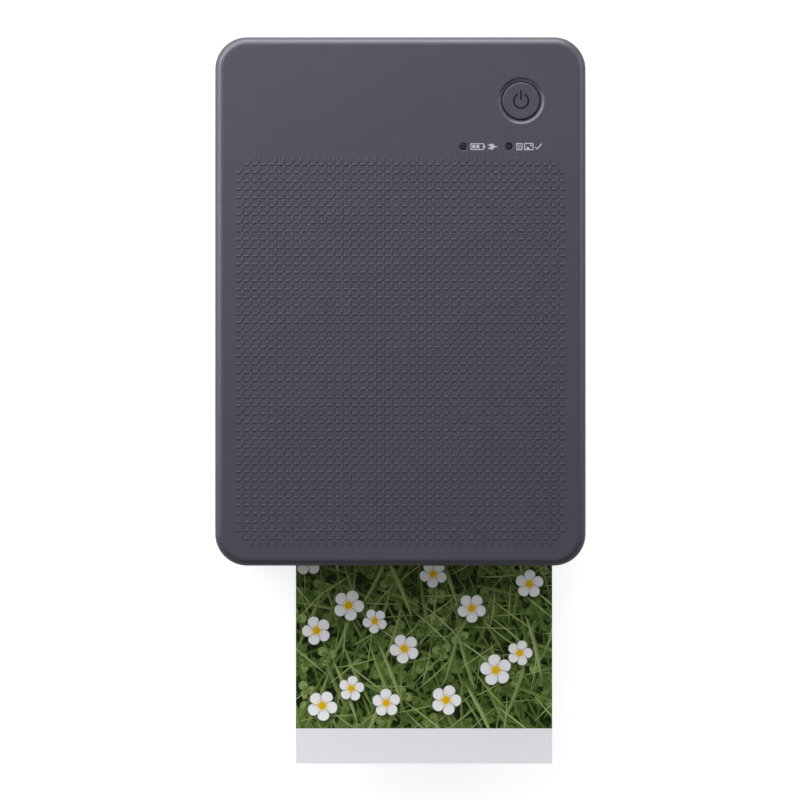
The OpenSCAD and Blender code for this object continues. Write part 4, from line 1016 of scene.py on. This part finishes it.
def finishCopy(piece, node):
    finishPiece(piece, slotFinish[slotOf[node]], bodyOf[node], [node])


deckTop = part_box("inner_deck")[1][2] / mm
panel = {                   # shallow recess in the deck in front of the paper
    "low": (-29.4, -60.5), "high": (42.7, -26.5), "corner": 4.0, "depth": 0.45,
}
# An arrow to the paper, and a pile of sheets seen from the side
arrow = {"foot": -54.0, "reach": 21.0, "width": 2.4, "headReach": 9.0, "mitre": 0.35}
pile = {"left": 20.0, "right": 33.0, "front": -50.0, "step": 2.6, "sheets": 5}
guide = {                   # printed in the recess with the arrow and the pile: a sheet with its picture
    "thick": 0.06, "sunk": 0.02,
    "line": 0.7,
    "frames": [(-19.5, -54.0, -6.5, -34.5)],
    "bars": [],
    "discs": [(-13.8, -47.45, 3.6, 3), (-10.4, -40.65, 1.5, 32)],       # hill and sun
    "strokes": [],
}
deckInk = mouldedPlastic("grey ink", palette["deckInk"], 0.1, 0.004, 0.6, variation=0.04)


def cutPanel(deck):
    (x0, y0), (x1, y1) = panel["low"], panel["high"]
    cutter = block("panelCutter", (x0, y0, deckTop - panel["depth"]), (x1, y1, deckTop + 1))
    pick(cutter, "EDGE", upright)
    bevelPicked(panel["corner"], 8)
    combine(deck, cutter, "DIFFERENCE")


def makeArrow(low, high):
    width, aside = arrow["width"], arrow["mitre"] * arrow["width"]
    whole = stroke(paperMiddle, arrow["foot"], 90, arrow["reach"], width, low, high)
    tip = arrow["foot"] + arrow["reach"] + aside
    for side, degrees in ((1, -135), (-1, -45)):
        head = stroke(paperMiddle + side * aside, tip, degrees, arrow["headReach"], width, low, high)
        combine(whole, head, "UNION")
    return whole


def makeDeckSigns():
    low = deckTop - panel["depth"] - guide["sunk"]
    high = low + guide["thick"]
    parts = [makeArrow(low, high)] + drawnParts(guide, 0, 0, low, high)
    for i in range(pile["sheets"]):
        y = pile["front"] + i * pile["step"]
        parts.append(block("part", (pile["left"], y, low), (pile["right"], y + guide["line"], high)))
    signs = joinPieces(parts, "deckSigns")
    softenEdges(signs, 0.015, 1)
    finishPiece(signs, deckInk, "casing")


def makeSoftened():
    for node, width in softened.items():
        piece = copyOf(node)
        pick(piece, "FACE", lambda middle, facing: True)
        bpy.ops.mesh.dissolve_limited(angle_limit=math.radians(1))
        leaveEdit()
        if node == "inner_deck":
            cutPanel(piece)
        softenEdges(piece, width, 2, 50)
        smooth(piece, 35)
        levelNormals(piece)
        finishCopy(piece, node)


def makeSprings():
    for node, (joint, fixedEnd, kept) in springs.items():
        piece = copyOf(node)
        smooth(piece, 40)
        finishCopy(piece, node)
        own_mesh(piece)


makeSoftened()
makeDeckSigns()
makeSprings()
print("inner pieces made")


studio = {
    "floor": 6.0, "bounce": 0.35, "seen": 0.5, "glow": 0.78, "glossGlow": 0.27,
    "sky": (0.11, 0.42),    # from the front, from the back
    "lamps": {              # place, size and power; all of them aim at the printer
        "keyLight": ((-0.22, 0.30, 0.23), (0.22, 0.22), 1.11),
        "backLight": ((0.02, 0.36, 0.15), (0.30, 0.18), 1.3),
        "leftLight": ((-0.36, 0.12, 0.18), (0.28, 0.16), 1.02),
        "rightLight": ((0.36, 0.12, 0.18), (0.30, 0.16), 0.45),
        "frontLight": ((0.0, -0.36, 0.56), (0.50, 0.40), 0.40),
    },
    "aim": (0, -0.01, 0.02),
}
view = {
    "height": 953.0, "across": -0.1, "along": -27.2,
    "lensPlane": 30.0, "pixelsPerMm": 3.625, "pixels": 800, "sensor": 36,
}


# White to the lens, with the printer's shadow, and darker to a gloss; the light it returns is a plain grey's
def makeFloor():
    nothingSelected()
    bpy.ops.mesh.primitive_plane_add(size=studio["floor"], location=(0, 0, 0))
    floor = nameIt(bpy.context.object, "studioFloor")
    f = Finish("studio floor")
    f.set(Base_Color=grey(studio["bounce"]), Roughness=0.9)
    path = f.add("ShaderNodeLightPath").outputs
    lens, gloss = path["Is Camera Ray"], f.math("MAXIMUM", path["Is Glossy Ray"], path["Is Transmission Ray"])
    pale = f.add("ShaderNodeBsdfDiffuse")
    pale.inputs["Color"].default_value = grey(studio["seen"])
    glow = f.add("ShaderNodeEmission")
    f.join(f.between(lens, 0, 1, studio["glossGlow"], studio["glow"]), glow.inputs["Strength"])
    both, choice = f.add("ShaderNodeAddShader"), f.add("ShaderNodeMixShader")
    f.join(pale.outputs[0], both.inputs[0])
    f.join(glow.outputs[0], both.inputs[1])
    f.fill(choice, f.math("MAXIMUM", lens, gloss), f.shader.outputs[0], both.outputs[0])
    f.join(choice.outputs[0], f.tree.nodes["Material Output"].inputs["Surface"])
    floor.data.materials.append(f.material)


def makeLamps():
    scene = bpy.context.scene
    world = bpy.data.worlds.new("studio")
    scene.world = world
    world.use_nodes = True
    f = Nodes(world.node_tree)
    back = world.node_tree.nodes["Background"]
    camera = f.add("ShaderNodeLightPath").outputs["Is Camera Ray"]
    along = f.split(f.add("ShaderNodeTexCoord").outputs["Generated"])[1]
    f.join(f.math("MAXIMUM", f.between(along, -1, 1, *studio["sky"]), camera), back.inputs["Strength"])
    back.inputs["Color"].default_value = grey(1)
    for name, (place, size, power) in studio["lamps"].items():
        data = bpy.data.lights.new(name, "AREA")
        data.energy = power
        data.shape = "RECTANGLE"
        data.size, data.size_y = size
        lamp = bpy.data.objects.new(name, data)
        scene.collection.objects.link(lamp)
        lamp.location = place
        aim = Vector(studio["aim"]) - Vector(place)
        lamp.rotation_euler = aim.to_track_quat("-Z", "Y").to_euler()
    scene.view_settings.view_transform = "Standard"


# Straight above the printer, as the photograph was taken
def makeCamera():
    data = bpy.data.cameras.new("camera")
    camera = bpy.data.objects.new("camera", data)
    bpy.context.scene.collection.objects.link(camera)
    width = view["pixels"] / view["pixelsPerMm"]
    data.sensor_width = view["sensor"]
    data.lens = view["sensor"] * (view["height"] - view["lensPlane"]) / width
    data.clip_start, data.clip_end = 0.01, 20
    camera.location = (view["across"] * mm, view["along"] * mm, view["height"] * mm)
    bpy.context.scene.camera = camera


makeFloor()
makeLamps()
makeCamera()
print("studio made")
